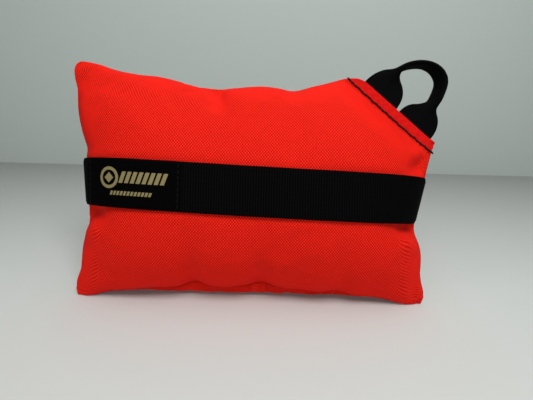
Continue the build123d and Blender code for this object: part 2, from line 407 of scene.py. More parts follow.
@dataclass(frozen=True)
class SeamOutline:
    """The closing seam of the filled bag, as guide points (u, w) for each side.

    Attributes:
        bottom: from the lower left corner to the lower right one.
        right: from there up to the hem's lower end.
        hem: the hem's edge, a straight line.
        top: from the upper left corner to the hem's upper end.
        left: from the lower left corner to the upper left one.
        right_turn: w where the right seam is taken to run on past the hem.
        right_run: the points that it runs on to.
        top_turn: u where the upper seam is taken to run on past the hem.
        top_run: the point that it runs on to.
    """

    bottom: tuple = (
        (-98.2, 0.6), (-94.7, -0.5), (-85.6, 1.3), (-72, 3.4), (-53.6, 5.4), (-44.5, 6.2), (-38, 7.6),
        (-31, 9.7), (-25, 8.2), (-19, 7.2), (-8, 7.3), (0, 8.9), (6, 10.3), (12, 9.0), (20, 7.4),
        (29, 6.7), (40, 5.8), (49, 6.3), (58, 4.4), (66, 3.6), (79, 1.7), (92, -0.6), (97.6, 0.5),
    )
    right: tuple = (
        (97.6, 0.5), (99.2, 5), (97.9, 12), (96.8, 25), (95.4, 34), (92.8, 43), (93.2, 47), (95, 53),
        (97, 62), (98.3, 71.6), (100, 80), (101.9, 88), (102.8, 92.0),
    )
    hem: tuple = ((102.8, 92.0), (62.4, 126.1))
    top: tuple = (
        (-103.0, 131.8), (-101.4, 133.3), (-98, 133.6), (-91, 132.2), (-84, 130.2), (-66, 126.6),
        (-52, 124.7), (-43, 122.7), (-34, 120.6), (-25, 119.7), (-11, 120.2), (5, 121.2), (16, 120.4),
        (22, 119.9), (30, 121.8), (39, 124.3), (47, 126.6), (52, 127.9), (57.5, 127.8), (62.4, 126.1),
    )
    left: tuple = (
        (-98.2, 0.6), (-99.4, 5.5), (-97.2, 15), (-95.2, 29), (-92.7, 43), (-92.9, 48), (-94.0, 54),
        (-95.3, 65), (-96.0, 76), (-95.2, 82), (-96, 88), (-97.8, 95), (-99.4, 102), (-101.4, 115.6),
        (-103.4, 125), (-103.9, 129), (-103.0, 131.8),
    )
    right_turn: float = 84.0
    right_run: tuple = ((101.4, 86.0), (104.0, 134.0))
    top_turn: float = 46.0
    top_run: tuple = ((104.0, 139.0),)

    def lines(self) -> tuple[Array, Array, Array, Array]:
        """The smooth seam lines: bottom, right, top and left."""
        return (smooth_line(self.bottom, 900), smooth_line(self.right, 400),
                smooth_line(self.top, 900), smooth_line(self.left, 600))

    def bottom_w(self, u: Array) -> Array:
        """Height of the lower seam at u."""
        return np.interp(u, [p[0] for p in self.bottom], [p[1] for p in self.bottom])

    def sides(self, rows: int, columns: int) -> tuple[Array, Array, Array, Array]:
        """The four boundary lines of the grid: bottom, right with the hem, top and left.

        The hem's lower corner is given to the nearest row, so that it stays sharp.

        Args:
            rows: points up the bag.
            columns: points along the bag.

        Returns:
            The points of each boundary line.
        """
        up, along = crowded(rows), crowded(columns)
        bottom, side, top, left = self.lines()
        side_length = run_along(side)[-1]
        corner = side_length / (side_length + np.linalg.norm(np.subtract(*self.hem)))
        nearest = up[np.argmin(np.abs(up - corner))]
        right = at_shares(np.concatenate([side[:-1], np.asarray(self.hem)]),
                          np.interp(up, [0, nearest, 1], [0, corner, 1]))
        return at_shares(bottom, along), right, at_shares(top, along), at_shares(left, up)

    def grid(self, rows: int, columns: int) -> Array:
        """A flat grid inside the outline.

        Each point is the blend of the two side lines plus the blend of the lower and upper lines, less the
        blend of the four corners.

        Args:
            rows: points up the bag.
            columns: points along the bag.

        Returns:
            Rows by columns by (u, w).
        """
        bottom, right, top, left = self.sides(rows, columns)
        s = crowded(columns)[None, :, None]
        t = crowded(rows)[:, None, None]
        corners = ((1 - s) * (1 - t) * bottom[0] + s * (1 - t) * bottom[-1]
                   + s * t * top[-1] + (1 - s) * t * top[0])
        return (1 - t) * bottom[None] + t * top[None] + (1 - s) * left[:, None] + s * right[:, None] - corners

    def spans(self, u: Array, w: Array) -> tuple[Array, Array]:
        """Place between the side seams and between the lower and upper seams, from -1 to 1.

        Above the hem's ends the right and upper seams are taken to run on to the corner that the hem cuts
        off.

        Args:
            u: places along the bag.
            w: places up the bag.

        Returns:
            The two places, x along the bag and y up it.
        """
        bottom, right, top, left = self.lines()
        right = np.concatenate([right[right[:, 1] < self.right_turn], self.right_run])
        top = np.concatenate([top[(top[:, 0] < self.top_turn) & (top[:, 0] > left[-1, 0])], self.top_run])
        top = top[np.argsort(top[:, 0])]
        left_u = np.interp(w, left[:, 1], left[:, 0])
        right_u = np.interp(w, right[:, 1], right[:, 0])
        low_w = np.interp(u, bottom[:, 0], bottom[:, 1])
        high_w = np.interp(u, top[:, 0], top[:, 1])
        x = (2 * u - left_u - right_u) / (right_u - left_u)
        y = (2 * w - low_w - high_w) / (high_w - low_w)
        return np.clip(x, -1, 1), np.clip(y, -1, 1)


@dataclass(frozen=True)
class Fold:
    """A soft crease or ridge in the cloth, along a line from start to end.

    Attributes:
        start: (u, w) where it is deepest.
        end: (u, w) where it fades out.
        width: spread of its bell-shaped section.
        depth: height off the cloth, negative for a crease.
    """

    start: tuple[float, float]
    end: tuple[float, float]
    width: float
    depth: float

    def height(self, u: Array, w: Array) -> Array:
        """Depth times a bell curve across the line, fading along it.

        Args:
            u: places along the bag.
            w: places up the bag.

        Returns:
            The height at each point.
        """
        a, b = np.asarray(self.start), np.asarray(self.end)
        run = b - a
        length = np.linalg.norm(run)
        t = ((u - a[0]) * run[0] + (w - a[1]) * run[1]) / length**2
        held = np.clip(t, 0, 1)
        distance = np.hypot(u - a[0] - held * run[0], w - a[1] - held * run[1])
        return self.depth * np.exp(-((distance / self.width) ** 2)) * (1 - 0.85 * held**1.5)


def bulge(x: Array, power: float, root: float) -> Array:
    """How full the bag is at x, from -1 to 1: (1 - |x|^power)^root, 1 in the middle and 0 at the seams."""
    return (1 - np.clip(np.abs(x), 0, 1) ** power) ** root


@dataclass(frozen=True)
class StrapLine:
    """The line that the elastic strap takes over the bag.

    Attributes:
        left_reach: distance of the left seam from the middle, at the strap's centre line.
        right_reach: distance of the right seam.
        left_slant: how much further the left end reaches for each step up the strap's width.
        right_slant: the same at the right end.
        crown: height of the strap's underside at the middle.
        left_w: height of its centre line at the left seam.
        middle_w: at the middle.
        right_w: at the right seam.
        width: across the strap.
        thickness: of the elastic.
    """

    left_reach: float = 93.5
    right_reach: float = 93.9
    left_slant: float = 0.095
    right_slant: float = 0.227
    crown: float = 28.2
    left_w: float = 65.0
    middle_w: float = 61.3
    right_w: float = 59.0
    width: float = 25.4
    thickness: float = 1.5

    def reach(self, side: Array, q: Array) -> Array:
        """Distance of the seam from the middle, at q up from the strap's centre line."""
        left = self.left_reach + self.left_slant * q
        right = self.right_reach + self.right_slant * q
        return np.where(side < 0, left, right)

    def height(self, u: Array, q: Array) -> Array:
        """Height of the strap's underside over the seam plane."""
        return self.crown * bulge(u / self.reach(np.sign(u), q), 4.5, 0.62)

    def centre_w(self, u: Array) -> Array:
        """Height of the strap's centre line up the seam plane: a parabola through its three given heights."""
        x = u / self.right_reach
        bend = (self.left_w + self.right_w) / 2 - self.middle_w
        return self.middle_w + (self.right_w - self.left_w) / 2 * x + bend * x**2

    def press(self, u: Array, w: Array, n: Array) -> Array:
        """The bag's height n, held down under the strap and swelling again beside it.

        The result is the softened lesser of n and a limit: -s log(exp(-n / s) + exp(-limit / s)). The limit
        is the strap's underside less a gap, and beside the strap it rises by d / 2 + d^2 / 20.

        Args:
            u: places along the bag.
            w: places up the bag.
            n: the bag's height.

        Returns:
            The height under the strap's press.
        """
        q = w - self.centre_w(u)
        edge = self.width / 2
        beside = np.maximum(np.abs(q) - edge, 0)
        gap, soft = 0.5, 0.8
        limit = self.height(u, np.clip(q, -edge, edge)) - gap + 0.5 * beside + 0.05 * beside**2
        return -soft * np.log(np.exp(-n / soft) + np.exp(-limit / soft))


# ---------------------------------------------------------------- materials


def node_group(name: str, inputs: dict[str, float], outputs: tuple[str, ...]) -> bpy.types.NodeTree:
    """An empty shader node group with a vector input, number inputs and number outputs.

    Args:
        name: the group's name.
        inputs: each number input and its default.
        outputs: the number outputs.

    Returns:
        The group's node tree.
    """
    tree = bpy.data.node_groups.new(name, "ShaderNodeTree")
    tree.interface.new_socket("Vector", in_out="INPUT", socket_type="NodeSocketVector")
    for label, value in inputs.items():
        tree.interface.new_socket(label, in_out="INPUT", socket_type="NodeSocketFloat").default_value = value
    for label in outputs:
        tree.interface.new_socket(label, in_out="OUTPUT", socket_type="NodeSocketFloat")
    tree.nodes.new("NodeGroupInput")
    tree.nodes.new("NodeGroupOutput")
    return tree


class Wiring:
    """Short calls to add and link nodes in one tree."""

    def __init__(self, tree: bpy.types.NodeTree) -> None:
        """Keeps the tree that nodes are added to."""
        self.tree = tree

    def put(self, socket: bpy.types.NodeSocket, value: object) -> None:
        """Links another socket to this one, or sets its value."""
        if isinstance(value, bpy.types.NodeSocket):
            self.tree.links.new(value, socket)
        else:
            socket.default_value = value

    def math(self, operation: str, *values: object) -> bpy.types.NodeSocket:
        """The result of a Math node."""
        node = self.tree.nodes.new("ShaderNodeMath")
        node.operation = operation
        for socket, value in zip(node.inputs, values):
            self.put(socket, value)
        return node.outputs[0]

    def wave(self, place: object, length: object) -> bpy.types.NodeSocket:
        """sin(pi place / length)."""
        return self.math("SINE", self.math("MULTIPLY", place, self.math("DIVIDE", math.pi, length)))

    def mix(self, amount: object, first: object, second: object) -> bpy.types.NodeSocket:
        """A colour between two colours.

        Args:
            amount: 0 for the first and 1 for the second.
            first: a colour or a socket.
            second: a colour or a socket.

        Returns:
            The mixed colour.
        """
        node = self.tree.nodes.new("ShaderNodeMix")
        node.data_type = "RGBA"
        self.put(node.inputs[0], amount)
        self.put(node.inputs[6], first)
        self.put(node.inputs[7], second)
        return node.outputs[2]

    def noise(self, vector: object, scale: float, detail: float) -> bpy.types.NodeSocket:
        """Cloudy noise from 0 to 1.

        Args:
            vector: the coordinates.
            scale: waves to the unit.
            detail: how many finer layers it has.

        Returns:
            The noise.
        """
        node = self.tree.nodes.new("ShaderNodeTexNoise")
        self.put(node.inputs["Vector"], vector)
        node.inputs["Scale"].default_value = scale
        node.inputs["Detail"].default_value = detail
        return node.outputs["Fac"]

    def split(self, vector: object) -> tuple[bpy.types.NodeSocket, bpy.types.NodeSocket]:
        """The first two parts of a vector."""
        node = self.tree.nodes.new("ShaderNodeSeparateXYZ")
        self.put(node.inputs[0], vector)
        return node.outputs[0], node.outputs[1]

    def group(self, tree: bpy.types.NodeTree, vector: object, **values: float) -> bpy.types.Node:
        """A node group placed with its own values.

        Args:
            tree: the group.
            vector: the coordinates.
            values: a value for each of its number inputs.

        Returns:
            The node.
        """
        node = self.tree.nodes.new("ShaderNodeGroup")
        node.node_tree = tree
        self.put(node.inputs["Vector"], vector)
        for label, value in values.items():
            self.put(node.inputs[label.replace("_", " ").title()], value)
        return node

    def turned_away(self, start: float, end: float) -> bpy.types.NodeSocket:
        """0 where the surface faces the eye, rising from start to 1 at end as it turns away."""
        weight = self.tree.nodes.new("ShaderNodeLayerWeight")
        weight.inputs["Blend"].default_value = 0.5
        level = self.math("DIVIDE", self.math("SUBTRACT", weight.outputs["Facing"], start), end - start)
        return self.math("MINIMUM", 1.0, self.math("MAXIMUM", 0.0, level))

    def bump(self, height: object, distance: float, strength: float) -> bpy.types.NodeSocket:
        """A surface normal bent by a height, whose full step is the distance in metres.

        Args:
            height: the height, as a socket.
            distance: the full step, in metres.
            strength: share of the bend that is used.

        Returns:
            The normal.
        """
        node = self.tree.nodes.new("ShaderNodeBump")
        node.inputs["Strength"].default_value = strength
        node.inputs["Distance"].default_value = distance
        self.put(node.inputs["Height"], height)
        return node.outputs[0]


def plain_weave_group() -> bpy.types.NodeTree:
    """Plain weave: yarns cross over and under one by one.

    With a = sin(pi x / pitch) and b = sin(pi y / rise), the warp's height is |a| (0.5 + 0.5 a b) and the
    weft's is |b| (0.5 - 0.5 a b). Height is the larger, and Warp goes from 0 on a weft crown to 1 on a warp
    crown.

    Returns:
        The group.
    """
    tree = node_group("plain_weave", {"Pitch": 0.72, "Rise": 0.9}, ("Height", "Warp"))
    wire = Wiring(tree)
    source, sink = tree.nodes["Group Input"], tree.nodes["Group Output"]
    x, y = wire.split(source.outputs["Vector"])
    a = wire.wave(x, source.outputs["Pitch"])
    b = wire.wave(y, source.outputs["Rise"])
    over = wire.math("MULTIPLY", wire.math("MULTIPLY", a, b), 0.5)
    warp = wire.math("MULTIPLY", wire.math("ABSOLUTE", a), wire.math("ADD", 0.5, over))
    weft = wire.math("MULTIPLY", wire.math("ABSOLUTE", b), wire.math("SUBTRACT", 0.5, over))
    tree.links.new(wire.math("MAXIMUM", warp, weft), sink.inputs["Height"])
    tree.links.new(wire.math("ADD", 0.5, over), sink.inputs["Warp"])
    return tree


def ribbed_group() -> bpy.types.NodeTree:
    """Narrow woven tape: fine cords across it, with shallow lines along it.

    Height is |sin(pi x / pitch)|^0.7, lowered by a fifth where |sin(pi y / lane)| is near 0.

    Returns:
        The group.
    """
    tree = node_group("ribbed_tape", {"Pitch": 1.3, "Lane": 2.45, "Depth": 0.3}, ("Height",))
    wire = Wiring(tree)
    source, sink = tree.nodes["Group Input"], tree.nodes["Group Output"]
    x, y = wire.split(source.outputs["Vector"])
    ribs = wire.math("POWER", wire.math("ABSOLUTE", wire.wave(x, source.outputs["Pitch"])), 0.7)
    lanes = wire.math("ABSOLUTE", wire.wave(y, source.outputs["Lane"]))
    groove = wire.math("SUBTRACT", 1.0, wire.math("MINIMUM", 1.0, wire.math("MULTIPLY", lanes, 4.0)))
    height = wire.math("SUBTRACT", ribs, wire.math("MULTIPLY", groove, source.outputs["Depth"]))
    tree.links.new(height, sink.inputs["Height"])
    return tree


def herringbone_group() -> bpy.types.NodeTree:
    """Nylon webbing: slanting ridges that turn back in lanes, like a row of arrow heads.

    The height is |sin(pi (x + |y folded into its lane|) / pitch)|.

    Returns:
        The group.
    """
    tree = node_group("webbing_weave", {"Pitch": 1.1, "Lane": 4.0}, ("Height",))
    wire = Wiring(tree)
    source, sink = tree.nodes["Group Input"], tree.nodes["Group Output"]
    x, y = wire.split(source.outputs["Vector"])
    folded = wire.math("PINGPONG", y, source.outputs["Lane"])
    slant = wire.math("ADD", x, folded)
    tree.links.new(wire.math("ABSOLUTE", wire.wave(slant, source.outputs["Pitch"])), sink.inputs["Height"])
    return tree


@dataclass
class Weaves:
    """The weave patterns, each built once.

    Attributes:
        plain: the shell's and the label's plain weave.
        ribbed: the elastic's cords and lanes.
        webbing: the loop's slanting ridges.
    """

    plain: bpy.types.NodeTree = field(default_factory=plain_weave_group)
    ribbed: bpy.types.NodeTree = field(default_factory=ribbed_group)
    webbing: bpy.types.NodeTree = field(default_factory=herringbone_group)


def start_material(name: str, roughness: float,
                   specular: float) -> tuple[bpy.types.Material, Wiring, bpy.types.Node]:
    """A material with its Principled shader ready to be wired.

    Args:
        name: the finish's name.
        roughness: of the shader.
        specular: its specular level.

    Returns:
        The material, its wiring and the shader node.
    """
    material = bpy.data.materials.new(name)
    material.use_nodes = True
    shader = material.node_tree.nodes["Principled BSDF"]
    shader.inputs["Roughness"].default_value = roughness
    shader.inputs["Specular IOR Level"].default_value = specular
    return material, Wiring(material.node_tree), shader


def shaded(colour: tuple, share: float) -> tuple:
    """A colour darkened to a share of its light."""
    return tuple(part * share for part in colour[:3]) + (1,)


def cloth_vector(wire: Wiring) -> bpy.types.NodeSocket:
    """The piece's own flat cloth coordinates, in millimetres."""
    node = wire.tree.nodes.new("ShaderNodeUVMap")
    node.uv_map = "cloth"
    return node.outputs[0]


@dataclass(frozen=True)
class ShellCloth:
    """Coated nylon cloth in plain weave, bright red-orange.

    Attributes:
        warp: colour of the yarns that run up the bag, lightened on their crowns as a painted highlight.
        weft: colour of the yarns that run along it, darkened as painted shade.
        gap: colour between the yarns, a painted shade in the gaps of the weave.
        hem: colour of the folded hem strip, whose yarns are pressed flat.
        far: colour where the cloth turns away and its yarns can't be told apart.
        pitch: distance between the yarns that run up, in millimetres.
        rise: distance between the yarns that run along, in millimetres.
    """

    warp: tuple = (1.0, 0.03, 0.013, 1)
    weft: tuple = (0.47, 0.0, 0.0, 1)
    gap: tuple = (0.33, 0.0, 0.0, 1)
    hem: tuple = (0.58, 0.005, 0.005, 1)
    far: tuple = (0.74, 0.012, 0.006, 1)
    pitch: float = 0.72
    rise: float = 0.9

    def make(self, weaves: Weaves) -> bpy.types.Material:
        """Painted highlight on warp crowns, painted shade on weft and gaps, with slow changes of tone and
        small slubs.

        Args:
            weaves: the weave patterns.

        Returns:
            The material.
        """
        material, wire, shader = start_material("shell_cloth", 0.75, 0.05)
        flat = cloth_vector(wire)
        drift = wire.noise(flat, 0.35, 3.0)
        weave = wire.group(weaves.plain, flat, pitch=self.pitch, rise=self.rise)
        height = weave.outputs["Height"]
        # The weave's tones are its pattern with painted light: lit warp crowns, and weft and gaps in painted
        # shade.
        share = wire.math("SUBTRACT", wire.math("MULTIPLY", weave.outputs["Warp"], 1.5), 0.25)
        tone = wire.mix(share, self.weft, self.warp)
        open_gap = wire.math("SUBTRACT", 1.0, wire.math("MINIMUM", 1.0, wire.math("MULTIPLY", height, 2.6)))
        tone = wire.mix(open_gap, tone, self.gap)
        uneven = wire.math("MULTIPLY", wire.math("SUBTRACT", 0.75, drift), 0.35)
        tone = wire.mix(uneven, tone, shaded(self.weft, 0.8))
        away = wire.turned_away(0.32, 0.55)
        tone = wire.mix(away, tone, self.far)
        strip = wire.tree.nodes.new("ShaderNodeAttribute")
        strip.attribute_name = "hem"
        tone = wire.mix(wire.math("MULTIPLY", strip.outputs["Fac"], 0.8), tone, self.hem)
        wire.put(shader.inputs["Base Color"], tone)
        height = wire.math("MULTIPLY", height, wire.math("SUBTRACT", 1.0, away))
        wire.put(shader.inputs["Normal"], wire.bump(height, 0.00022, 0.8))
        return material


@dataclass(frozen=True)
class TapeCloth:
    """Black woven tape: the elastic's fine cords, or the webbing's slanting ridges.

    Attributes:
        name: the material's name.
        colour: of the ground.
        crest_sheen: colour of the yarns' tops, a painted sheen.
        pitch: distance between cords or ridges, in millimetres.
        lane: width of a lane along the tape, in millimetres.
        ribbed: whether it has the elastic's cords.
    """

    name: str
    colour: tuple = (0.0006, 0.0006, 0.0007, 1)
    crest_sheen: tuple = (0.0042, 0.0042, 0.0045, 1)
    pitch: float = 1.3
    lane: float = 2.45
    ribbed: bool = True

    def make(self, weaves: Weaves) -> bpy.types.Material:
        """Painted sheen lightening the crests over a near-black ground, with faint fibre noise.

        Args:
            weaves: the weave patterns.

        Returns:
            The material.
        """
        material, wire, shader = start_material(self.name, 0.8, 0.02)
        flat = cloth_vector(wire)
        tree = weaves.ribbed if self.ribbed else weaves.webbing
        weave = wire.group(tree, flat, pitch=self.pitch, lane=self.lane)
        fibre = wire.noise(flat, 3.0, 2.0)
        # Painted sheen: the crests are lightened in the base colour.
        crest_sheen = wire.math("MULTIPLY", wire.math("POWER", weave.outputs["Height"], 2.0), fibre)
        wire.put(shader.inputs["Base Color"], wire.mix(crest_sheen, self.colour, self.crest_sheen))
        height = wire.math("ADD", weave.outputs["Height"], wire.math("MULTIPLY", fibre, 0.25))
        wire.put(shader.inputs["Normal"], wire.bump(height, 0.00022, 0.7))
        return material


@dataclass(frozen=True)
class LabelCloth:
    """Fine black label cloth with a plain khaki device: a diamond in a ring, and two rows of slanting bars.

    Attributes:
        ground: colour of the cloth.
        device: colour of the device.
        pitch: distance between its yarns, in millimetres.
        ring: the ring's centre on the label.
        radius: of the ring's middle line.
        stroke: half the ring's thickness.
        diamond: half the diamond's width.
        slant: how far a bar leans for each step up.
        solid: the share of each step that its bar fills.
        wide_row: middle x and y, half sizes, and the step from bar to bar.
        thin_row: the same for the lower row.
    """

    ground: tuple = (0.0009, 0.0008, 0.0009, 1)
    device: tuple = (0.27, 0.22, 0.105, 1)
    pitch: float = 0.32
    ring: tuple = (-10.9, 2.6)
    radius: float = 4.7
    stroke: float = 0.8
    diamond: float = 2.7
    slant: float = 0.35
    solid: float = 0.68
    wide_row: tuple = (8.2, 3.0, 12.4, 2.9, 3.1)
    thin_row: tuple = (1.6, -5.1, 11.4, 1.05, 1.9)

    def bars(self, wire: Wiring, x: object, y: object, row: tuple) -> bpy.types.NodeSocket:
        """A row of slanting bars: 1 on a bar and 0 elsewhere.

        Args:
            wire: the material's wiring.
            x: place along the label.
            y: place up the label.
            row: middle x and y, half sizes, and the step from bar to bar.

        Returns:
            The mask.
        """
        middle_x, middle_y, half_width, half_height, step = row
        away_y = wire.math("SUBTRACT", y, middle_y)
        lean = wire.math("MULTIPLY", away_y, -self.slant)
        along = wire.math("ADD", wire.math("SUBTRACT", x, middle_x), lean)
        inside = wire.math("MULTIPLY", wire.math("LESS_THAN", wire.math("ABSOLUTE", along), half_width),
                           wire.math("LESS_THAN", wire.math("ABSOLUTE", away_y), half_height))
        part = wire.math("FRACT", wire.math("DIVIDE", wire.math("ADD", along, half_width), step))
        return wire.math("MULTIPLY", inside, wire.math("LESS_THAN", part, self.solid))

    def make(self, weaves: Weaves) -> bpy.types.Material:
        """The device is a mask on the label's own flat coordinates, broken up by its fine weave.

        Args:
            weaves: the weave patterns.

        Returns:
            The material.
        """
        material, wire, shader = start_material("label_cloth", 0.8, 0.02)
        flat = cloth_vector(wire)
        weave = wire.group(weaves.plain, flat, pitch=self.pitch, rise=self.pitch)
        x, y = wire.split(flat)
        away_x = wire.math("SUBTRACT", x, self.ring[0])
        away_y = wire.math("SUBTRACT", y, self.ring[1])
        squares = [wire.math("MULTIPLY", away, away) for away in (away_x, away_y)]
        off_ring = wire.math("SUBTRACT", wire.math("SQRT", wire.math("ADD", *squares)), self.radius)
        ring = wire.math("LESS_THAN", wire.math("ABSOLUTE", off_ring), self.stroke)
        reach = wire.math("ADD", wire.math("ABSOLUTE", away_x), wire.math("ABSOLUTE", away_y))
        mask = wire.math("MAXIMUM", ring, wire.math("LESS_THAN", reach, self.diamond))
        for row in (self.wide_row, self.thin_row):
            mask = wire.math("MAXIMUM", mask, self.bars(wire, x, y, row))
        worn = wire.math("ADD", 0.55, wire.math("MULTIPLY", weave.outputs["Height"], 0.5))
        wire.put(shader.inputs["Base Color"],
                 wire.mix(wire.math("MULTIPLY", mask, worn), self.ground, self.device))
        height = wire.math("ADD", weave.outputs["Height"], mask)
        wire.put(shader.inputs["Normal"], wire.bump(height, 0.00008, 0.6))
        return material


@dataclass(frozen=True)
class Thread:
    """Twisted sewing thread.

    Attributes:
        name: the material's name.
        colour: of the thread.
    """

    name: str
    colour: tuple

    def make(self, weaves: Weaves) -> bpy.types.Material:
        """Slanting plies along each stitch.

        Args:
            weaves: the weave patterns; not used.

        Returns:
            The material.
        """
        material, wire, shader = start_material(self.name, 0.7, 0.1)
        x, y = wire.split(cloth_vector(wire))
        ply = wire.math("ABSOLUTE", wire.math("SINE", wire.math("MULTIPLY", wire.math("ADD", x, y), 7.0)))
        wire.put(shader.inputs["Base Color"], wire.mix(ply, shaded(self.colour, 0.5), self.colour))
        wire.put(shader.inputs["Normal"], wire.bump(ply, 0.0001, 0.7))
        return material


@dataclass(frozen=True)
class Grains:
    """Dry sand, and the cloudy film that holds it.

    Attributes:
        name: the material's name.
        dark: colour between the grains.
        light: colour of the grains.
        scale: grains to the metre.
        depth: height of the grains, in metres.
    """

    name: str
    dark: tuple
    light: tuple
    scale: float
    depth: float

    def make(self, weaves: Weaves) -> bpy.types.Material:
        """Cells of two tones with a bump, on object coordinates.

        Args:
            weaves: the weave patterns; not used.

        Returns:
            The material.
        """
        material, wire, shader = start_material(self.name, 0.8, 0.5)
        place = wire.tree.nodes.new("ShaderNodeTexCoord").outputs["Object"]
        cells = wire.tree.nodes.new("ShaderNodeTexVoronoi")
        wire.put(cells.inputs["Vector"], place)
        cells.inputs["Scale"].default_value = self.scale
        cloud = wire.noise(place, self.scale / 8, 2.0)
        between = wire.math("MULTIPLY", cells.outputs["Distance"], cloud)
        wire.put(shader.inputs["Base Color"], wire.mix(between, self.light, self.dark))
        wire.put(shader.inputs["Normal"], wire.bump(cells.outputs["Distance"], self.depth, 0.5))
        return material


@dataclass
class Finishes:
    """Every material, made once.

    Attributes:
        weaves: the weave patterns they share.
        made: each finish's material.
    """

    weaves: Weaves = field(default_factory=Weaves)
    made: dict = field(default_factory=dict)

    def dress(self, piece: bpy.types.Object, finish: object, slot: str, *nodes: str) -> None:
        """Gives a piece its one finish and hides the CAD nodes that it replaces.

        Args:
            piece: the piece.
            finish: the finish, made if it is new.
            slot: the material slot's name; not used.
            nodes: the CAD nodes that the piece replaces.
        """
        key = repr(finish)
        if key not in self.made:
            self.made[key] = finish.make(self.weaves)
        piece.data.materials.clear()
        piece.data.materials.append(self.made[key])
        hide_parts(*nodes)
        LOG.info("%s: %d points", piece.name, len(piece.data.vertices))


ELASTIC = TapeCloth("elastic")
WEBBING = TapeCloth("webbing", (0.0008, 0.0008, 0.0009, 1), (0.0065, 0.0065, 0.007, 1), 1.1, 4.0, False)
BLACK_THREAD = Thread("black_thread", (0.006, 0.0055, 0.006, 1))
SHELL_THREAD = Thread("shell_thread", (0.6, 0.02, 0.008, 1))
SAND = Grains("sand", (0.3, 0.22, 0.13, 1), (0.62, 0.5, 0.34, 1), 900.0, 0.0004)
LINER_FILM = Grains("liner_film", (0.6, 0.6, 0.57, 1), (0.78, 0.78, 0.75, 1), 40.0, 0.0006)


# ---------------------------------------------------------------- sub-assemblies


LOOSE_NYLON = {
    "quality": 8, "mass": 0.15, "tension_stiffness": 30, "compression_stiffness": 30, "shear_stiffness": 8,
    "bending_stiffness": 0.05, "air_damping": 2.0, "use_pressure": True, "uniform_pressure_force": 3.0,
}
SIMULATED_FRAMES = 22
PUCKER_BLUR = 9.0


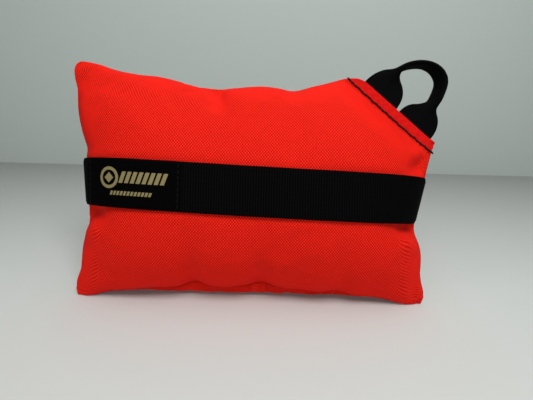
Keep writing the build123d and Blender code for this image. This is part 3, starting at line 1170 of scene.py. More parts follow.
@dataclass
class Shell:
    """The two padded cloth panels, the inner bag and the sand.

    Attributes:
        plane: where the seams lie.
        strap: the strap that presses on the front.
        outline: the seams themselves.
        rows: grid points up the bag.
        columns: grid points along the bag.
        front_depth: how far the front swells.
        back_depth: how far the back swells.
        cloth: thickness of the cloth.
        hem_depth: width of the flat hem strip.
        hem_half: half the thickness of the hem where the webbing lies in it.
        sag: how far the slumped back hangs over its foot before the floor flattens it.
        skirt: share of the back's height that hangs straight down from the raised lower seam to the floor.
        recess: how far behind the seam it reaches the floor.
        excess: share by which the cloth is longer than the shape, which puckers it.
        share: how much of the simulated puckers is kept.
        cap: furthest that a point may pucker.
        floor: least height of the cloth over the floor.
        coarse: step between the grid points that the inner bag and the sand keep.
        folds: the larger creases and ridges of the front.
    """

    plane: SeamPlane
    strap: StrapLine
    outline: SeamOutline = field(default_factory=SeamOutline)
    rows: int = 90
    columns: int = 128
    front_depth: float = 28.6
    back_depth: float = 25.0
    cloth: float = 0.6
    hem_depth: float = 6.85
    hem_half: float = 1.5
    sag: float = 7.0
    skirt: float = 0.04
    recess: float = 2.0
    excess: float = 0.02
    share: float = 0.4
    cap: float = 0.9
    floor: float = 0.3
    coarse: int = 3
    folds: tuple = (
        Fold((-52, 125), (-44, 106), 6.5, -1.4), Fold((-22, 117), (-15, 101), 4.5, -7.0),
        Fold((-38, 117), (-28, 102), 6.0, 1.0), Fold((-8, 117), (-6, 103), 6.0, 1.0),
        Fold((22, 120), (14, 106), 5.0, -2.2), Fold((-31, 9), (-34, 24), 4.0, -3.0),
        Fold((6, 10), (5, 25), 4.5, -3.0), Fold((50, 6), (53, 17), 4.5, -2.0),
        Fold((-90, 48), (-76, 50), 5.5, -10.0), Fold((-84, 40), (-91, 31), 4.5, 2.4),
        Fold((89, 45), (75, 47), 5.5, -10.0), Fold((85, 37), (91, 29), 4.5, 2.4),
        Fold((96, 80), (82, 74), 3.6, -6.0), Fold((97, 88), (82, 83), 4.5, 1.6),
        Fold((-97, 84), (-84, 80), 5.0, -2.2), Fold((96, 77), (86, 73), 4.5, -1.6),
        Fold((-99, 122), (-84, 110), 6.0, -1.2), Fold((-94, 8), (-80, 20), 6.0, -1.2),
        Fold((93, 8), (80, 20), 6.0, -1.2),
    )

    def fullness(self, u: Array, w: Array, face: Face) -> Array:
        """How far each point swells, from 0 at the seams to 1 at the crown.

        It is the product of a bulge between the side seams, a bulge between the lower and upper seams, and a
        rise from the hem's stitches. The back's fill has slumped, so its second bulge peaks low.

        Args:
            u: places along the bag.
            w: places up the bag.
            face: which panel.

        Returns:
            The fullness at each point.
        """
        x, y = self.outline.spans(u, w)
        along = bulge(x, 4.5, 0.62)
        peak = -0.06
        rise_length = 42.0
        if face is Face.FRONT:
            up = bulge((y - peak) / np.where(y > peak, 1 - peak, 1 + peak), 2.4, 0.6)
        else:
            rest = np.clip(((y + 1) / 2 - self.skirt) / (1 - self.skirt), 0, 1)
            up = bulge(2 * rest**0.62 - 1, 2.6, 0.6)
        past_stitches = self.inside_hem(u, w) - self.stitch_line(self.hem_run(u, w))
        from_hem = np.clip((past_stitches - 0.5) / rise_length, 0, 1)
        return along * up * bulge(1 - from_hem, 2.4, 0.6)

    def inside_hem(self, u: Array, w: Array) -> Array:
        """Distance in from the hem's edge, across the hem."""
        low, high = (np.asarray(p) for p in self.outline.hem)
        run = unit(high - low)
        return (low[0] - u) * run[1] + (w - low[1]) * run[0]

    def hem_run(self, u: Array, w: Array) -> Array:
        """Distance along the hem from its middle."""
        low, high = (np.asarray(p) for p in self.outline.hem)
        run = unit(low - high)
        middle = (low + high) / 2
        return (u - middle[0]) * run[0] + (w - middle[1]) * run[1]

    def stitch_line(self, e: Array) -> Array:
        """How far in the hem's stitches lie: deepest just above the middle, like a hand-guided seam."""
        return self.hem_depth - 0.55 * ((e + 5.5) / 30.0) ** 2

    def target(self, face: Face) -> Array:
        """The panel's shape before it puckers, as (u, w, n) on the grid.

        Args:
            face: which panel.

        Returns:
            Rows by columns by three.
        """
        u, w = np.moveaxis(self.outline.grid(self.rows, self.columns), -1, 0)
        full = hold_rim(self.fullness(u, w, face))
        hem = self.hem_height(u, w)
        if face is Face.FRONT:
            n = self.creased(u, w, full)
        else:
            w, n = self.slumped(u, w, full)
        return np.stack([u, w, face.value * np.maximum(n, hem)], axis=-1)

    def creased(self, u: Array, w: Array, full: Array) -> Array:
        """The front's height with its folds, held down under the strap.

        The folds' heights are added to the bulge. No crease is deeper than three fifths of the bulge, and the
        folds fade out over the first fifth of the fullness.

        Args:
            u: places along the bag.
            w: places up the bag.
            full: the fullness there.

        Returns:
            The height over the seam plane.
        """
        n = self.front_depth * full
        creases = np.maximum(sum(fold.height(u, w) for fold in self.folds), -0.6 * n)
        n = n + creases * np.clip(full * 5, 0, 1)
        return np.where(full > 0, np.maximum(self.strap.press(u, w, n), 0), n)

    def slumped(self, u: Array, w: Array, full: Array) -> tuple[Array, Array]:
        """The back's places, its fill slumped towards the floor.

        Low goes from 0 at the lower seam to 1 at the upper one. The skirt hangs straight from the raised
        lower seam to the plane's foot, and that shift fades as sin(pi drop / 2) exp(-(low / 0.42)^2). The
        fullest part hangs below the foot by the sag and the foot moves back by the recess; both fade as
        exp(-(low / 0.3)^2). A ripple of 3% runs along the lower part.

        Args:
            u: places along the bag.
            w: places up the bag.
            full: the fullness there.

        Returns:
            The new places up the bag, and the heights off the seam plane.
        """
        x, y = self.outline.spans(u, w)
        low = (y + 1) / 2
        seam_w = self.outline.bottom_w(u)
        drop = np.clip(low / self.skirt, 0, 1)
        fade = np.sin(drop * math.pi / 2) * np.exp(-((low / 0.42) ** 2))
        near_floor = np.exp(-((low / 0.3) ** 2))
        hang = self.sag * np.clip(full * 1.6 - 0.3, 0, 1) * near_floor
        raised = seam_w + low * (w - seam_w) * (low < self.skirt)
        n = self.back_depth * full + self.recess * np.clip(seam_w / 6, 0, 1) * drop * near_floor
        ripple = 0.03 * np.cos(3.1 * math.pi * x) * np.exp(-((low - 0.3) / 0.3) ** 2)
        return w - raised * fade - hang, n * (1 + ripple)

    def hem_height(self, u: Array, w: Array) -> Array:
        """Half the hem's thickness on its flat strip, sloping to 0 past the stitches and at the strip's ends.

        Args:
            u: places along the bag.
            w: places up the bag.

        Returns:
            The height over the seam plane.
        """
        slope, end_share, edge = 3.0, 0.02, 0.5
        x, y = self.outline.spans(u, w)
        inside = self.inside_hem(u, w)
        line = self.stitch_line(self.hem_run(u, w))
        strip = np.clip((line + slope - inside) / slope, 0, 1)
        ends = np.clip((1 - np.maximum(np.abs(x), np.abs(y))) / end_share, 0, 1)
        corner = np.clip(inside / edge, 0, 1)
        return self.hem_half * strip * np.maximum(ends, 1 - corner)

    def places(self, face: Face) -> Array:
        """The panel's points in the row frame, laid flat where they meet the floor."""
        shape = self.target(face)
        points = self.plane.place(shape[..., 0], shape[..., 1], shape[..., 2])
        points[..., 2] = np.maximum(points[..., 2], self.floor)
        return points

    def cloth_uv(self, points: Array) -> Array:
        """Flat cloth coordinates: distance along each row and each column, from its middle.

        A step along a row counts its change in u and n, and a step up a column its change in w and n.

        Args:
            points: the panel's points in the row frame.

        Returns:
            Rows by columns by two, in millimetres.
        """
        local = points - self.plane.foot
        parts = [local @ axis for axis in (self.plane.across, self.plane.up, self.plane.out)]
        rows, columns = points.shape[:2]
        run, rise = np.diff(parts[0], axis=1), np.diff(parts[1], axis=0)
        across = np.hypot(run, np.diff(parts[2], axis=1)) * np.sign(run)
        climb = np.hypot(rise, np.diff(parts[2], axis=0)) * np.sign(rise)
        u = np.concatenate([np.zeros((rows, 1)), np.cumsum(across, axis=1)], axis=1)
        v = np.concatenate([np.zeros((1, columns)), np.cumsum(climb, axis=0)], axis=0)
        middle, row = columns // 2, rows // 2
        u = u - u[:, middle:middle + 1] + parts[0][:, middle:middle + 1]
        v = v - v[row:row + 1] + parts[1][row:row + 1]
        return np.stack([u, v], axis=-1)

    def pucker(self, points: Array, face: Face) -> Array:
        """The panel after its cloth has been let go between its seams by a cloth simulation.

        The cloth is a little longer than the shape and is blown against it, with its edge held. Only the
        short waves of the result are kept: the movement less its own blurred copy, up to the cap.

        Args:
            points: the panel's points in the row frame.
            face: which panel.

        Returns:
            The puckered points.
        """
        rows, columns = points.shape[:2]
        sheet = grid_piece("pucker_sheet", points, np.zeros((rows, columns, 2)), flip=face is Face.BACK)
        edge = np.ones((rows, columns), bool)
        edge[1:-1, 1:-1] = False
        shape = self.outline.grid(rows, columns)
        edge |= self.inside_hem(shape[..., 0], shape[..., 1]) < self.hem_depth + 1
        group = sheet.vertex_groups.new(name="held")
        group.add(np.flatnonzero(edge).tolist(), 1.0, "REPLACE")
        cloth = sheet.modifiers.new("cloth", "CLOTH")
        for label, value in LOOSE_NYLON.items():
            setattr(cloth.settings, label, value)
        cloth.settings.shrink_min = -self.excess
        cloth.settings.vertex_group_mass = "held"
        cloth.settings.effector_weights.gravity = 0
        cloth.collision_settings.use_collision = False
        cloth.point_cache.frame_end = 40
        scene = bpy.context.scene
        for frame in range(1, SIMULATED_FRAMES + 1):
            scene.frame_set(frame)
        evaluated = sheet.evaluated_get(bpy.context.evaluated_depsgraph_get())
        place = np.zeros(rows * columns * 3)
        evaluated.data.vertices.foreach_get("co", place)
        moved = place.reshape(rows, columns, 3) / MM - points
        scene.frame_set(1)
        mesh = sheet.data
        bpy.data.objects.remove(sheet)
        bpy.data.meshes.remove(mesh)
        waves = moved - blur(moved, PUCKER_BLUR)
        waves[edge] = 0
        size = np.linalg.norm(waves, axis=-1, keepdims=True)
        LOG.info("%s panel puckers by up to %.2f mm, moved %.2f mm", face.name.lower(), size.max(),
                 np.linalg.norm(moved, axis=-1).max())
        return points + waves * np.minimum(self.share, self.cap / np.maximum(size, 1e-6))

    def panel(self, face: Face) -> Array:
        """The finished points of one panel."""
        points = self.places(face)
        points = self.pucker(points, face)
        points[..., 2] = np.maximum(points[..., 2], self.floor)
        return points

    def build(self, finishes: Finishes) -> None:
        """Makes the panels, the inner bag, the sand and the closing seam's thread.

        Args:
            finishes: the materials, shared by every piece.
        """
        grids = {face: self.panel(face) for face in Face}
        for face, points in grids.items():
            side = face.name.lower()
            piece = grid_piece(f"shell_{side}", points, self.cloth_uv(points), flip=face is Face.BACK)
            self.thicken(piece, self.cloth)
            self.mark_hem(piece)
            finishes.dress(piece, ShellCloth(), "shell_cloth", f"{side}_panel")
            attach(piece, "bag")
            self.make_inner(face, points, finishes)
        self.make_sand(grids, finishes)
        self.make_seam_thread(grids[Face.FRONT], finishes)

    def thicken(self, piece: bpy.types.Object, thickness: float) -> None:
        """Gives a sheet its thickness, inwards."""
        wall = piece.modifiers.new("thickness", "SOLIDIFY")
        wall.thickness = thickness * MM
        wall.offset = -1

    def mark_hem(self, piece: bpy.types.Object) -> None:
        """Stores how far each point belongs to the hem strip, for the cloth's finish."""
        u, w = np.moveaxis(self.outline.grid(self.rows, self.columns), -1, 0)
        inside = self.inside_hem(u, w)
        value = np.clip((self.stitch_line(self.hem_run(u, w)) - 0.2 - inside) / 0.8, 0, 1)
        piece.data.attributes.new("hem", "FLOAT", "POINT").data.foreach_set("value", value.ravel())

    def inset(self, points: Array, face: Face, distance: float) -> Array:
        """A layer inside the panel, thinner by the distance and drawn in from the seams.

        The depth is the least of its neighbours' depths, less the distance. Near the seams the layer is drawn
        in by the distance and 1 mm more, and it keeps clear of the raised lower seam and of the hem.

        Args:
            points: the panel's points in the row frame.
            face: which panel.
            distance: how far inside to lie.

        Returns:
            The layer's points. Both faces give the same rim.
        """
        local = points - self.plane.foot
        u, w, n = (local @ axis for axis in (self.plane.across, self.plane.up, self.plane.out))
        least, cells = np.abs(n), 3
        for axis in (0, 1):
            wide = np.pad(least, [(cells, cells) if k == axis else (0, 0) for k in (0, 1)], mode="edge")
            size = least.shape[axis]
            shifted = [np.take(wide, np.arange(k, k + size), axis=axis) for k in range(2 * cells + 1)]
            least = np.min(shifted, axis=0)
        inner = hold_rim(np.maximum(blur(least[..., None], 1.5)[..., 0] - distance, 0))
        near = (distance + 1) * np.clip(1 - inner / 10, 0, 1)
        middle_w = 62
        away = np.hypot(u, w - middle_w)
        u = u * (1 - near / away)
        w = w + (middle_w - w) * near / away
        w = np.maximum(w, self.outline.bottom_w(u) + distance + 1)
        moved = self.plane.place(u, w, face.value * inner)
        past = (moved - self.plane.hem_point) @ self.plane.hem_out + self.hem_depth + 2.0
        return moved - self.plane.hem_out * np.maximum(past, 0)[..., None]

    def make_inner(self, face: Face, points: Array, finishes: Finishes) -> None:
        """One sheet of the inner bag.

        Args:
            face: which panel.
            points: the panel's points in the row frame.
            finishes: the materials, shared by every piece.
        """
        side = face.name.lower()
        step = self.coarse
        inner = self.inset(points, face, 1.6)[::step, ::step]
        uv = self.cloth_uv(points)[::step, ::step]
        piece = grid_piece(f"inner_bag_{side}", inner, uv, flip=face is Face.BACK)
        self.thicken(piece, 0.2)
        finishes.dress(piece, LINER_FILM, "liner_film", f"liner_{side}")
        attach(piece, "bag")

    def make_sand(self, grids: dict, finishes: Finishes) -> None:
        """The sand, one closed body inside the inner bag.

        Args:
            grids: the points of both panels.
            finishes: the materials, shared by every piece.
        """
        step = self.coarse
        front, back = (self.inset(points, face, 3.0)[::step, ::step] for face, points in grids.items())
        rows, columns = front.shape[:2]
        count = rows * columns
        faces = np.concatenate([grid_faces(rows, columns), grid_faces(rows, columns, flip=True) + count])
        index = np.arange(count).reshape(rows, columns)
        rim = np.concatenate([index[0], index[1:, -1], index[-1, -2::-1], index[-2::-1, 0]])
        band = np.stack([rim[:-1], rim[:-1] + count, rim[1:] + count, rim[1:]], axis=1)
        points = np.concatenate([front.reshape(-1, 3), back.reshape(-1, 3)])
        piece = new_mesh("sand", points, np.concatenate([faces, band]).tolist())
        finishes.dress(piece, SAND, "sand", "sand_fill")
        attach(piece, "bag")

    def make_seam_thread(self, front: Array, finishes: Finishes) -> None:
        """The closing seam's thread, a fine cord just inside the seam.

        Args:
            front: the front panel's points.
            finishes: the materials, shared by every piece.
        """
        rim = np.concatenate([front[0], front[1:, -1], front[-1, -2::-1], front[-2:0:-1, 0]])
        local = rim - self.plane.foot
        flat = self.plane.place(local @ self.plane.across, local @ self.plane.up, np.zeros(len(rim)))
        middle = flat.mean(axis=0)
        line = middle + (flat - middle) * 0.985
        line[:, 2] = np.maximum(line[:, 2], 1.2)
        line = np.concatenate([line, line[:1]])
        radius, columns = 0.25, 6
        angle = np.arange(columns) * 2 * math.pi / columns
        inward = unit(middle - line)[:, None]
        rings = line[:, None] + radius * (np.cos(angle)[None, :, None] * inward
                                          + np.sin(angle)[None, :, None] * self.plane.out)
        uv = np.stack(np.broadcast_arrays(1.4 * np.arange(len(line))[:, None], angle), axis=-1)
        piece = new_mesh("closing_thread", rings, grid_faces(len(line), columns, loop=True).tolist(), uv)
        close_up(piece)
        finishes.dress(piece, SHELL_THREAD, "shell_thread", "seam_thread")
        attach(piece, "bag")


@dataclass
class HandStrap:
    """The elastic strap, its label, and the stitches of both.

    Attributes:
        plane: where the seams lie.
        line: the strap's line over the bag.
        rows: points along each half.
        lift: clearance between the strap and the bag.
        label_left: where the label starts.
        label_length: along the strap.
        label_height: across the strap.
        label_thickness: of the label.
        lap: distance from the strap's middle within which it lifts fully.
    """

    plane: SeamPlane
    line: StrapLine
    rows: int = 90
    lift: float = 0.35
    label_left: float = -85.5
    label_length: float = 51.0
    label_height: float = 23.4
    label_thickness: float = 0.5
    lap: float = 12.0

    def surface(self, u: Array, q: Array) -> Array:
        """Points of the strap's underside at u along the bag and q up from its centre line."""
        u, q = np.broadcast_arrays(u, q)
        return self.plane.place(u, self.line.centre_w(u) + q, self.line.height(u, q) + self.lift)

    def over(self, u: Array, q: Array, height: Array) -> tuple[Array, Array, Array, Array]:
        """Points at a height over the strap's underside.

        The outward direction is the cross product of small steps along and across the surface.

        Args:
            u: places along the bag.
            q: places up from the strap's centre line.
            height: distance over the underside.

        Returns:
            Points, then unit vectors along the strap, across it and outwards.
        """
        limit = 0.9995 * self.line.reach(np.sign(u), q)
        u = np.clip(u, -limit, limit)
        step = 0.02
        along = unit(self.surface(u + step * (u < 0), q) - self.surface(u - step * (u >= 0), q))
        across = unit(self.surface(u, q + step) - self.surface(u, q - step))
        out = unit(np.cross(along, across))
        return self.surface(u, q) + out * np.asarray(height)[..., None], along, across, out

    def run_at(self, u: Array) -> Array:
        """Distance along the strap's middle line, from its middle.

        Args:
            u: places along the bag.

        Returns:
            The distances.
        """
        fine = np.linspace(-0.999, 0.999, 2001)
        fine = self.line.right_reach * np.sin(fine * math.pi / 2)
        path = self.surface(fine, np.zeros(len(fine)))
        run = run_along(path)
        return np.interp(u, fine, run - run[len(fine) // 2])

    def band(self, name: str, u: Array, section: Array, height: float) -> bpy.types.Object:
        """A closed band along the strap.

        Args:
            name: the piece's name.
            u: place along the bag of each ring's points.
            section: the outline's points.
            height: of the outline's middle over the strap's underside.

        Returns:
            The object.
        """
        q = np.broadcast_to(section[None, :, 0], u.shape)
        rings = self.over(u, q, height + np.broadcast_to(section[None, :, 1], u.shape))[0]
        uv = np.stack([self.run_at(u), q], axis=-1)
        return band_piece(name, rings, uv)

    def attach(self, piece: bpy.types.Object, side: int) -> None:
        """Bakes a piece's place into its mesh; the side seam's and the middle's places are worked out but not
        used.
        """
        ends = np.array([side * self.line.left_reach, side * self.lap])
        seam, middle = self.plane.place(ends, 60.0, 0.0) * MM
        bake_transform(piece)

    def half(self, name: str, side: int, finishes: Finishes, nodes: tuple) -> None:
        """One half of the strap, from its side seam to the middle.

        Args:
            name: the piece's name.
            side: -1 for the left half and 1 for the right.
            finishes: the materials.
            nodes: the CAD nodes that it replaces.
        """
        section = rounded_section(self.line.width, self.line.thickness)
        turn = np.linspace(0, 1, self.rows)[:, None]
        u = side * self.line.reach(np.array(side), section[None, :, 0]) * np.sin(turn * math.pi / 2)
        if side < 0:
            u = u[::-1]
        piece = self.band(name, u, section, self.line.thickness / 2)
        finishes.dress(piece, ELASTIC, "elastic", *nodes)
        self.attach(piece, side)

    def label(self, finishes: Finishes) -> None:
        """The woven label and its two rows of stitches.

        Args:
            finishes: the materials, shared by every piece.
        """
        section = rounded_section(self.label_height, self.label_thickness)
        label_right = self.label_left + self.label_length
        u = np.linspace(self.label_left, label_right, 60)[:, None] + np.zeros(len(section))
        height = self.line.thickness + self.label_thickness / 2 + 0.05
        piece = self.band("woven_label_patch", u, section, height)
        centre = self.run_at(np.array([self.label_left, label_right])).mean()
        layer = piece.data.uv_layers["cloth"].uv
        flat = np.zeros(len(layer) * 2, np.float32)
        layer.foreach_get("vector", flat)
        flat[::2] -= centre
        layer.foreach_set("vector", flat)
        finishes.dress(piece, LabelCloth(), "label_cloth", "woven_label")
        self.attach(piece, -1)
        places = np.array([self.label_left + 1.6, label_right - 1.6])
        u, q = (part.ravel() for part in np.meshgrid(places, np.arange(-3.5, 4) * 2.9))
        centre, _, across, out = self.over(u, q, np.full(len(u), height + self.label_thickness / 2))
        piece = stitches("label_thread", centre, across, out, (2.3, 0.45, 0.35))
        finishes.dress(piece, BLACK_THREAD, "black_thread", "label_stitches")
        self.attach(piece, -1)

    def tack(self, name: str, side: int, node: str, finishes: Finishes) -> None:
        """A dense bar of thread beside the side seam.

        Args:
            name: the piece's name.
            side: -1 for the left end and 1 for the right.
            node: the CAD node that it replaces.
            finishes: the materials.
        """
        q = np.linspace(-10.5, 10.5, 15)
        u = side * (self.line.reach(np.array(side), q) - 0.9)
        centre, _, across, out = self.over(u, q, np.full(len(q), self.line.thickness))
        piece = stitches(name, centre, across, out, (1.5, 0.5, 0.4))
        finishes.dress(piece, BLACK_THREAD, "black_thread", node)
        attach(piece, "bag")

    def build(self, finishes: Finishes) -> None:
        """Makes both halves, the label and the stitches.

        Args:
            finishes: the materials, shared by every piece.
        """
        self.half("elastic_left", -1, finishes, ("strap_end_left", "hand_strap"))
        self.half("elastic_right", 1, finishes, ("strap_end_right",))
        self.label(finishes)
        self.tack("tack_left", -1, "strap_tack_left", finishes)
        self.tack("tack_right", 1, "strap_tack_right", finishes)


@dataclass
class CarryLoop:
    """The webbing loop and the row of stitches that keeps its grip folded.

    Attributes:
        plane: where the hem lies.
        guides: the loop's centre line as (distance along the hem, distance out from its folding line).
        width: of the webbing.
        thickness: of the webbing.
        grip: width of the folded grip.
        grip_span: shares of the loop's length between which it is folded.
        necks: height where each leg has gathered fully, upper leg first.
        twist_at: shares of the length where the twist is given.
        twist: how far the webbing is turned about its length there, in degrees.
        rows: points along the webbing.
        columns: points across it.
    """

    plane: SeamPlane
    guides: tuple = (
        (-14.4, -6.0), (-14.6, 0.0), (-16.1, 9.2), (-16.2, 17.9), (-12.0, 25.4), (-5.4, 30.3), (1.4, 30.8),
        (6.2, 28.2), (9.0, 23.2), (11.1, 16.5), (12.4, 9.3), (11.5, 0.0), (11.3, -6.0),
    )
    width: float = 24.0
    thickness: float = 1.3
    grip: float = 12.0
    grip_span: tuple = (0.27, 0.74)
    necks: tuple = (17.5, 17.0)
    twist_at: tuple = (0.0, 0.2, 0.3, 0.45, 0.62, 0.74, 0.86, 1.0)
    twist: tuple = (0.0, 0.0, -4.0, -6.0, 10.0, 14.0, 0.0, 0.0)
    rows: int = 130
    columns: int = 25

    def in_grip(self) -> Array:
        """Which rows of points belong to the folded grip."""
        share = np.linspace(0, 1, self.rows)
        return (share > self.grip_span[0]) & (share < self.grip_span[1])

    def gathered(self, line: Array) -> Array:
        """How far the webbing has gathered, from 0 at the hem to 1 in the grip: (height / neck height)^2.1.

        Args:
            line: the loop's centre line.

        Returns:
            The gather at each row.
        """
        neck = np.where(line[:, 0] < 0, *self.necks)
        leg = np.clip(line[:, 1] / neck, 0, 1) ** 2.1
        return blur(np.where(self.in_grip(), 1.0, leg)[:, None, None], 2.0)[:, 0, 0]

    def surface(self, line: Array, q: Array) -> Array:
        """The webbing's middle surface.

        Where it is flat, a point lies q across from the centre line. In the grip the webbing is folded in
        half along its length: the point lies half a layer aside and moves off the plane by its distance from
        the fold. With the gather g the two are mixed as (1 - g) flat + g folded, then turned by the twist.

        Args:
            line: the centre line in the seam plane.
            q: places across the webbing.

        Returns:
            Rows by columns by three.
        """
        ahead = unit(np.gradient(line, axis=0))
        inward = np.stack([ahead[:, 1], -ahead[:, 0]], axis=1)
        g = self.gathered(line)[:, None]
        turn = np.interp(np.linspace(0, 1, self.rows), self.twist_at, self.twist)
        twist = np.radians(blur(turn[:, None, None], 3.0)[:, 0])
        layer = 0.5 * self.thickness + 0.15
        sideways = (1 - g) * q + g * layer * np.tanh(q / 1.3)
        folded = self.grip / 2 - np.abs(q) * self.grip / (self.width / 2)
        ripple = 0.9 * np.sin(math.pi * q / self.width) ** 2 * g * (1 - g)
        depth = g * folded + ripple
        across = sideways * np.cos(twist) - depth * np.sin(twist)
        off = sideways * np.sin(twist) + depth * np.cos(twist)
        e = line[:, :1] + inward[:, :1] * across
        m = line[:, 1:] + inward[:, 1:] * across
        return self.plane.hem_place(e, m, off)

    def build(self, finishes: Finishes) -> None:
        """Makes the webbing and the grip's stitches.

        Args:
            finishes: the materials, shared by every piece.
        """
        line = smooth_line(self.guides, self.rows)
        q = np.linspace(-self.width / 2, self.width / 2, self.columns)[None]
        points = self.surface(line, q)
        uv = np.stack(np.broadcast_arrays(run_along(line)[:, None], q), axis=-1)
        piece = grid_piece("webbing_loop", points, uv)
        wall = piece.modifiers.new("webbing_thickness", "SOLIDIFY")
        wall.thickness = self.thickness * MM
        wall.offset = 0
        smooth = piece.modifiers.new("smooth", "SUBSURF")
        smooth.levels = 1
        smooth.render_levels = 1
        finishes.dress(piece, WEBBING, "webbing", "carry_loop", "carry_loop_tails")
        start, end = self.plane.hem_place(0.0, np.array([-1.0, 2.5]), 0.0) * MM
        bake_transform(piece)
        self.make_grip_thread(points, finishes)

    def make_grip_thread(self, points: Array, finishes: Finishes) -> None:
        """The row of stitches near the grip's open edge.

        Args:
            points: the webbing's middle surface.
            finishes: the materials, shared by every piece.
        """
        rows = np.flatnonzero(self.in_grip())[3:-3:3]
        edge = self.columns - 3
        normals = grid_normals(points)[rows, edge]
        tangent = unit(np.gradient(points, axis=0))[rows, edge]
        centre = points[rows, edge] + normals * self.thickness * 0.5
        piece = stitches("grip_thread", centre, tangent, normals, (2.1, 0.5, 0.4))
        finishes.dress(piece, BLACK_THREAD, "black_thread", "grip_stitches")
        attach(piece, "loop")


@dataclass
class HemThread:
    """The black stitches that close the hem, one row on each face.

    Attributes:
        plane: where the hem lies.
        shell: whose surface they lie on.
        start: distance along the hem of the first stitch.
        end: of the last.
        pitch: from stitch to stitch.
        bead: length, width and height of a stitch.
    """

    plane: SeamPlane
    shell: Shell
    start: float = -34.0
    end: float = 28.8
    pitch: float = 2.6
    bead: tuple = (3.1, 1.15, 0.9)

    def build(self, finishes: Finishes) -> None:
        """Makes both rows, a little uneven, with doubled stitches at the lower end.

        Args:
            finishes: the materials, shared by every piece.
        """
        e = np.arange(self.start, self.end, self.pitch)
        e = np.concatenate([e, self.end - np.arange(3) * 1.9 - 1.0])
        wander = 0.16 * np.sin(e * 0.9) + 0.12 * np.sin(e * 2.3 + 1)
        m = -self.shell.stitch_line(e) + wander
        slant = 0.1 * np.sin(e * 1.7)
        along = unit(self.plane.hem_along + slant[:, None] * self.plane.hem_out)
        rows = []
        for face in Face:
            n = face.value * (self.shell.hem_half + 0.35)
            centre = self.plane.hem_place(e, m, np.full(len(e), n))
            out = np.repeat((self.plane.out * face.value)[None], len(e), axis=0)
            rows.append((centre, along, out))
        piece = stitches("hem_thread", *(np.concatenate(part) for part in zip(*rows)), self.bead)
        finishes.dress(piece, BLACK_THREAD, "black_thread", "hem_stitches")
        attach(piece, "bag")


# ---------------------------------------------------------------- the set


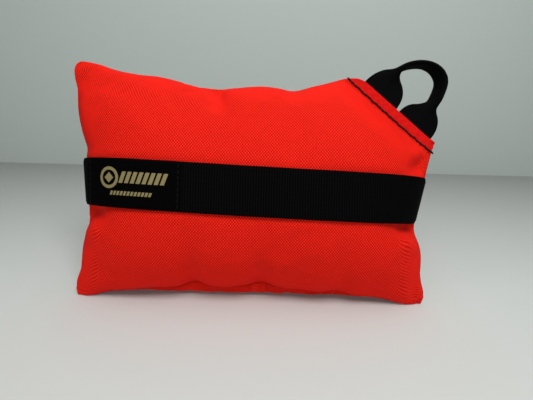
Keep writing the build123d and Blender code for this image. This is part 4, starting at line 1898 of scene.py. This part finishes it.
@dataclass
class Studio:
    """A pale floor and wall, soft lights and the camera, in metres.

    Attributes:
        eye: the camera's place.
        pitch: how far it looks down, in degrees.
        roll: how far it is turned about its line of sight, in degrees.
        lens: focal length on a 36 mm wide sensor.
        wall: distance of the back wall behind the origin.
        size: how far the floor and the wall reach.
    """

    eye: tuple = (0.008, -0.2127, 0.123)
    pitch: float = 18.0
    roll: float = 1.55
    lens: float = 26.2
    wall: float = 0.30
    size: float = 1.5

    def paint(self, name: str, colour: tuple, shade: float) -> bpy.types.Material:
        """A matte paper material with painted shade: darkened towards the back wall, for the lights' falloff.

        Args:
            name: the material's name.
            colour: of the paper.
            shade: the share of the colour that is left at the wall, where the painted shade is deepest.

        Returns:
            The material.
        """
        material, wire, shader = start_material(name, 0.9, 0.15)
        place = wire.tree.nodes.new("ShaderNodeTexCoord").outputs["Object"]
        depth = wire.split(place)[1]
        # Painted shade: the colour darkens with depth towards the wall, standing in for the lights' falloff.
        behind = wire.math("MAXIMUM", 0.0, wire.math("MULTIPLY", depth, 1.0 / self.wall))
        far = wire.math("MINIMUM", 1.0, behind)
        wire.put(shader.inputs["Base Color"], wire.mix(far, colour, shaded(colour, shade)))
        return material

    def sheet(self, name: str, corners: list, colour: tuple, shade: float) -> None:
        """A flat rectangle of the set.

        Args:
            name: the sheet's name.
            corners: its four corners.
            colour: of the paper.
            shade: the share of the colour that is left at the wall, where the painted shade is deepest.
        """
        mesh = bpy.data.meshes.new(name)
        mesh.from_pydata(corners, [], [(0, 1, 2, 3)])
        mesh.materials.append(self.paint(name, colour, shade))
        piece = bpy.data.objects.new(name, mesh)
        bpy.context.scene.collection.objects.link(piece)

    def light(self, name: str, place: tuple, aim: tuple, size: tuple, power: float, colour: tuple) -> None:
        """A soft rectangular light.

        Args:
            name: the light's name.
            place: its centre.
            aim: the point it faces.
            size: its width and height.
            power: in watts.
            colour: of its light.
        """
        lamp = bpy.data.lights.new(name, "AREA")
        lamp.shape = "RECTANGLE"
        lamp.size, lamp.size_y = size
        lamp.energy = power
        lamp.color = colour
        holder = bpy.data.objects.new(name, lamp)
        holder.location = place
        holder.rotation_euler = (Vector(aim) - Vector(place)).to_track_quat("-Z", "Y").to_euler()
        bpy.context.scene.collection.objects.link(holder)

    def build(self) -> None:
        """Makes the floor, the wall, the lights, the world and the camera."""
        scene = bpy.context.scene
        near, far = -self.size, self.size
        # The floor carries painted shade for the lights' falloff towards the wall; the wall's colour stays
        # even.
        self.sheet("floor", [(near, near, 0), (far, near, 0), (far, self.wall, 0), (near, self.wall, 0)],
                   (0.57, 0.585, 0.57, 1), 0.62)
        self.sheet("wall", [(near, self.wall, 0), (far, self.wall, 0), (far, self.wall, far),
                            (near, self.wall, far)], (0.49, 0.54, 0.515, 1), 1.0)
        self.light("key_panel", (0.09, -0.33, 0.585), (0.0, 0.0, 0.06), (0.33, 0.27), 3.1, (0.99, 1.0, 0.99))
        self.light("low_fill", (-0.05, -0.76, 0.34), (0.0, 0.0, 0.05), (1.0, 0.3), 1.7, (1.0, 1.0, 1.0))
        self.light("top_panel", (0.03, -0.04, 0.62), (0.0, 0.0, 0.0), (0.5, 0.4), 0.9, (0.97, 1.0, 0.985))
        world = bpy.data.worlds.new("room")
        world.use_nodes = True
        world.node_tree.nodes["Background"].inputs["Color"].default_value = (0.93, 0.97, 0.96, 1)
        world.node_tree.nodes["Background"].inputs["Strength"].default_value = 0.15
        scene.world = world
        scene.view_settings.view_transform = "Standard"
        lens = bpy.data.cameras.new("camera")
        lens.lens = self.lens
        lens.sensor_width = 36.0
        lens.clip_start = 0.005
        camera = bpy.data.objects.new("camera", lens)
        look = Euler((math.radians(90 - self.pitch), 0, 0)).to_matrix().to_4x4()
        roll = Matrix.Rotation(math.radians(self.roll), 4, "Z")
        camera.matrix_world = Matrix.Translation(Vector(self.eye)) @ look @ roll
        scene.collection.objects.link(camera)
        scene.camera = camera


def main() -> None:
    """Builds the set and every piece."""
    logging.basicConfig(level=logging.INFO, format="%(name)s: %(message)s")
    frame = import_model()
    plane = SeamPlane.from_frame(frame)
    finishes = Finishes()
    Studio().build()
    line = StrapLine()
    shell = Shell(plane, line)
    shell.build(finishes)
    HandStrap(plane, line).build(finishes)
    CarryLoop(plane).build(finishes)
    HemThread(plane, shell).build(finishes)


if __name__ == "__main__":
    main()
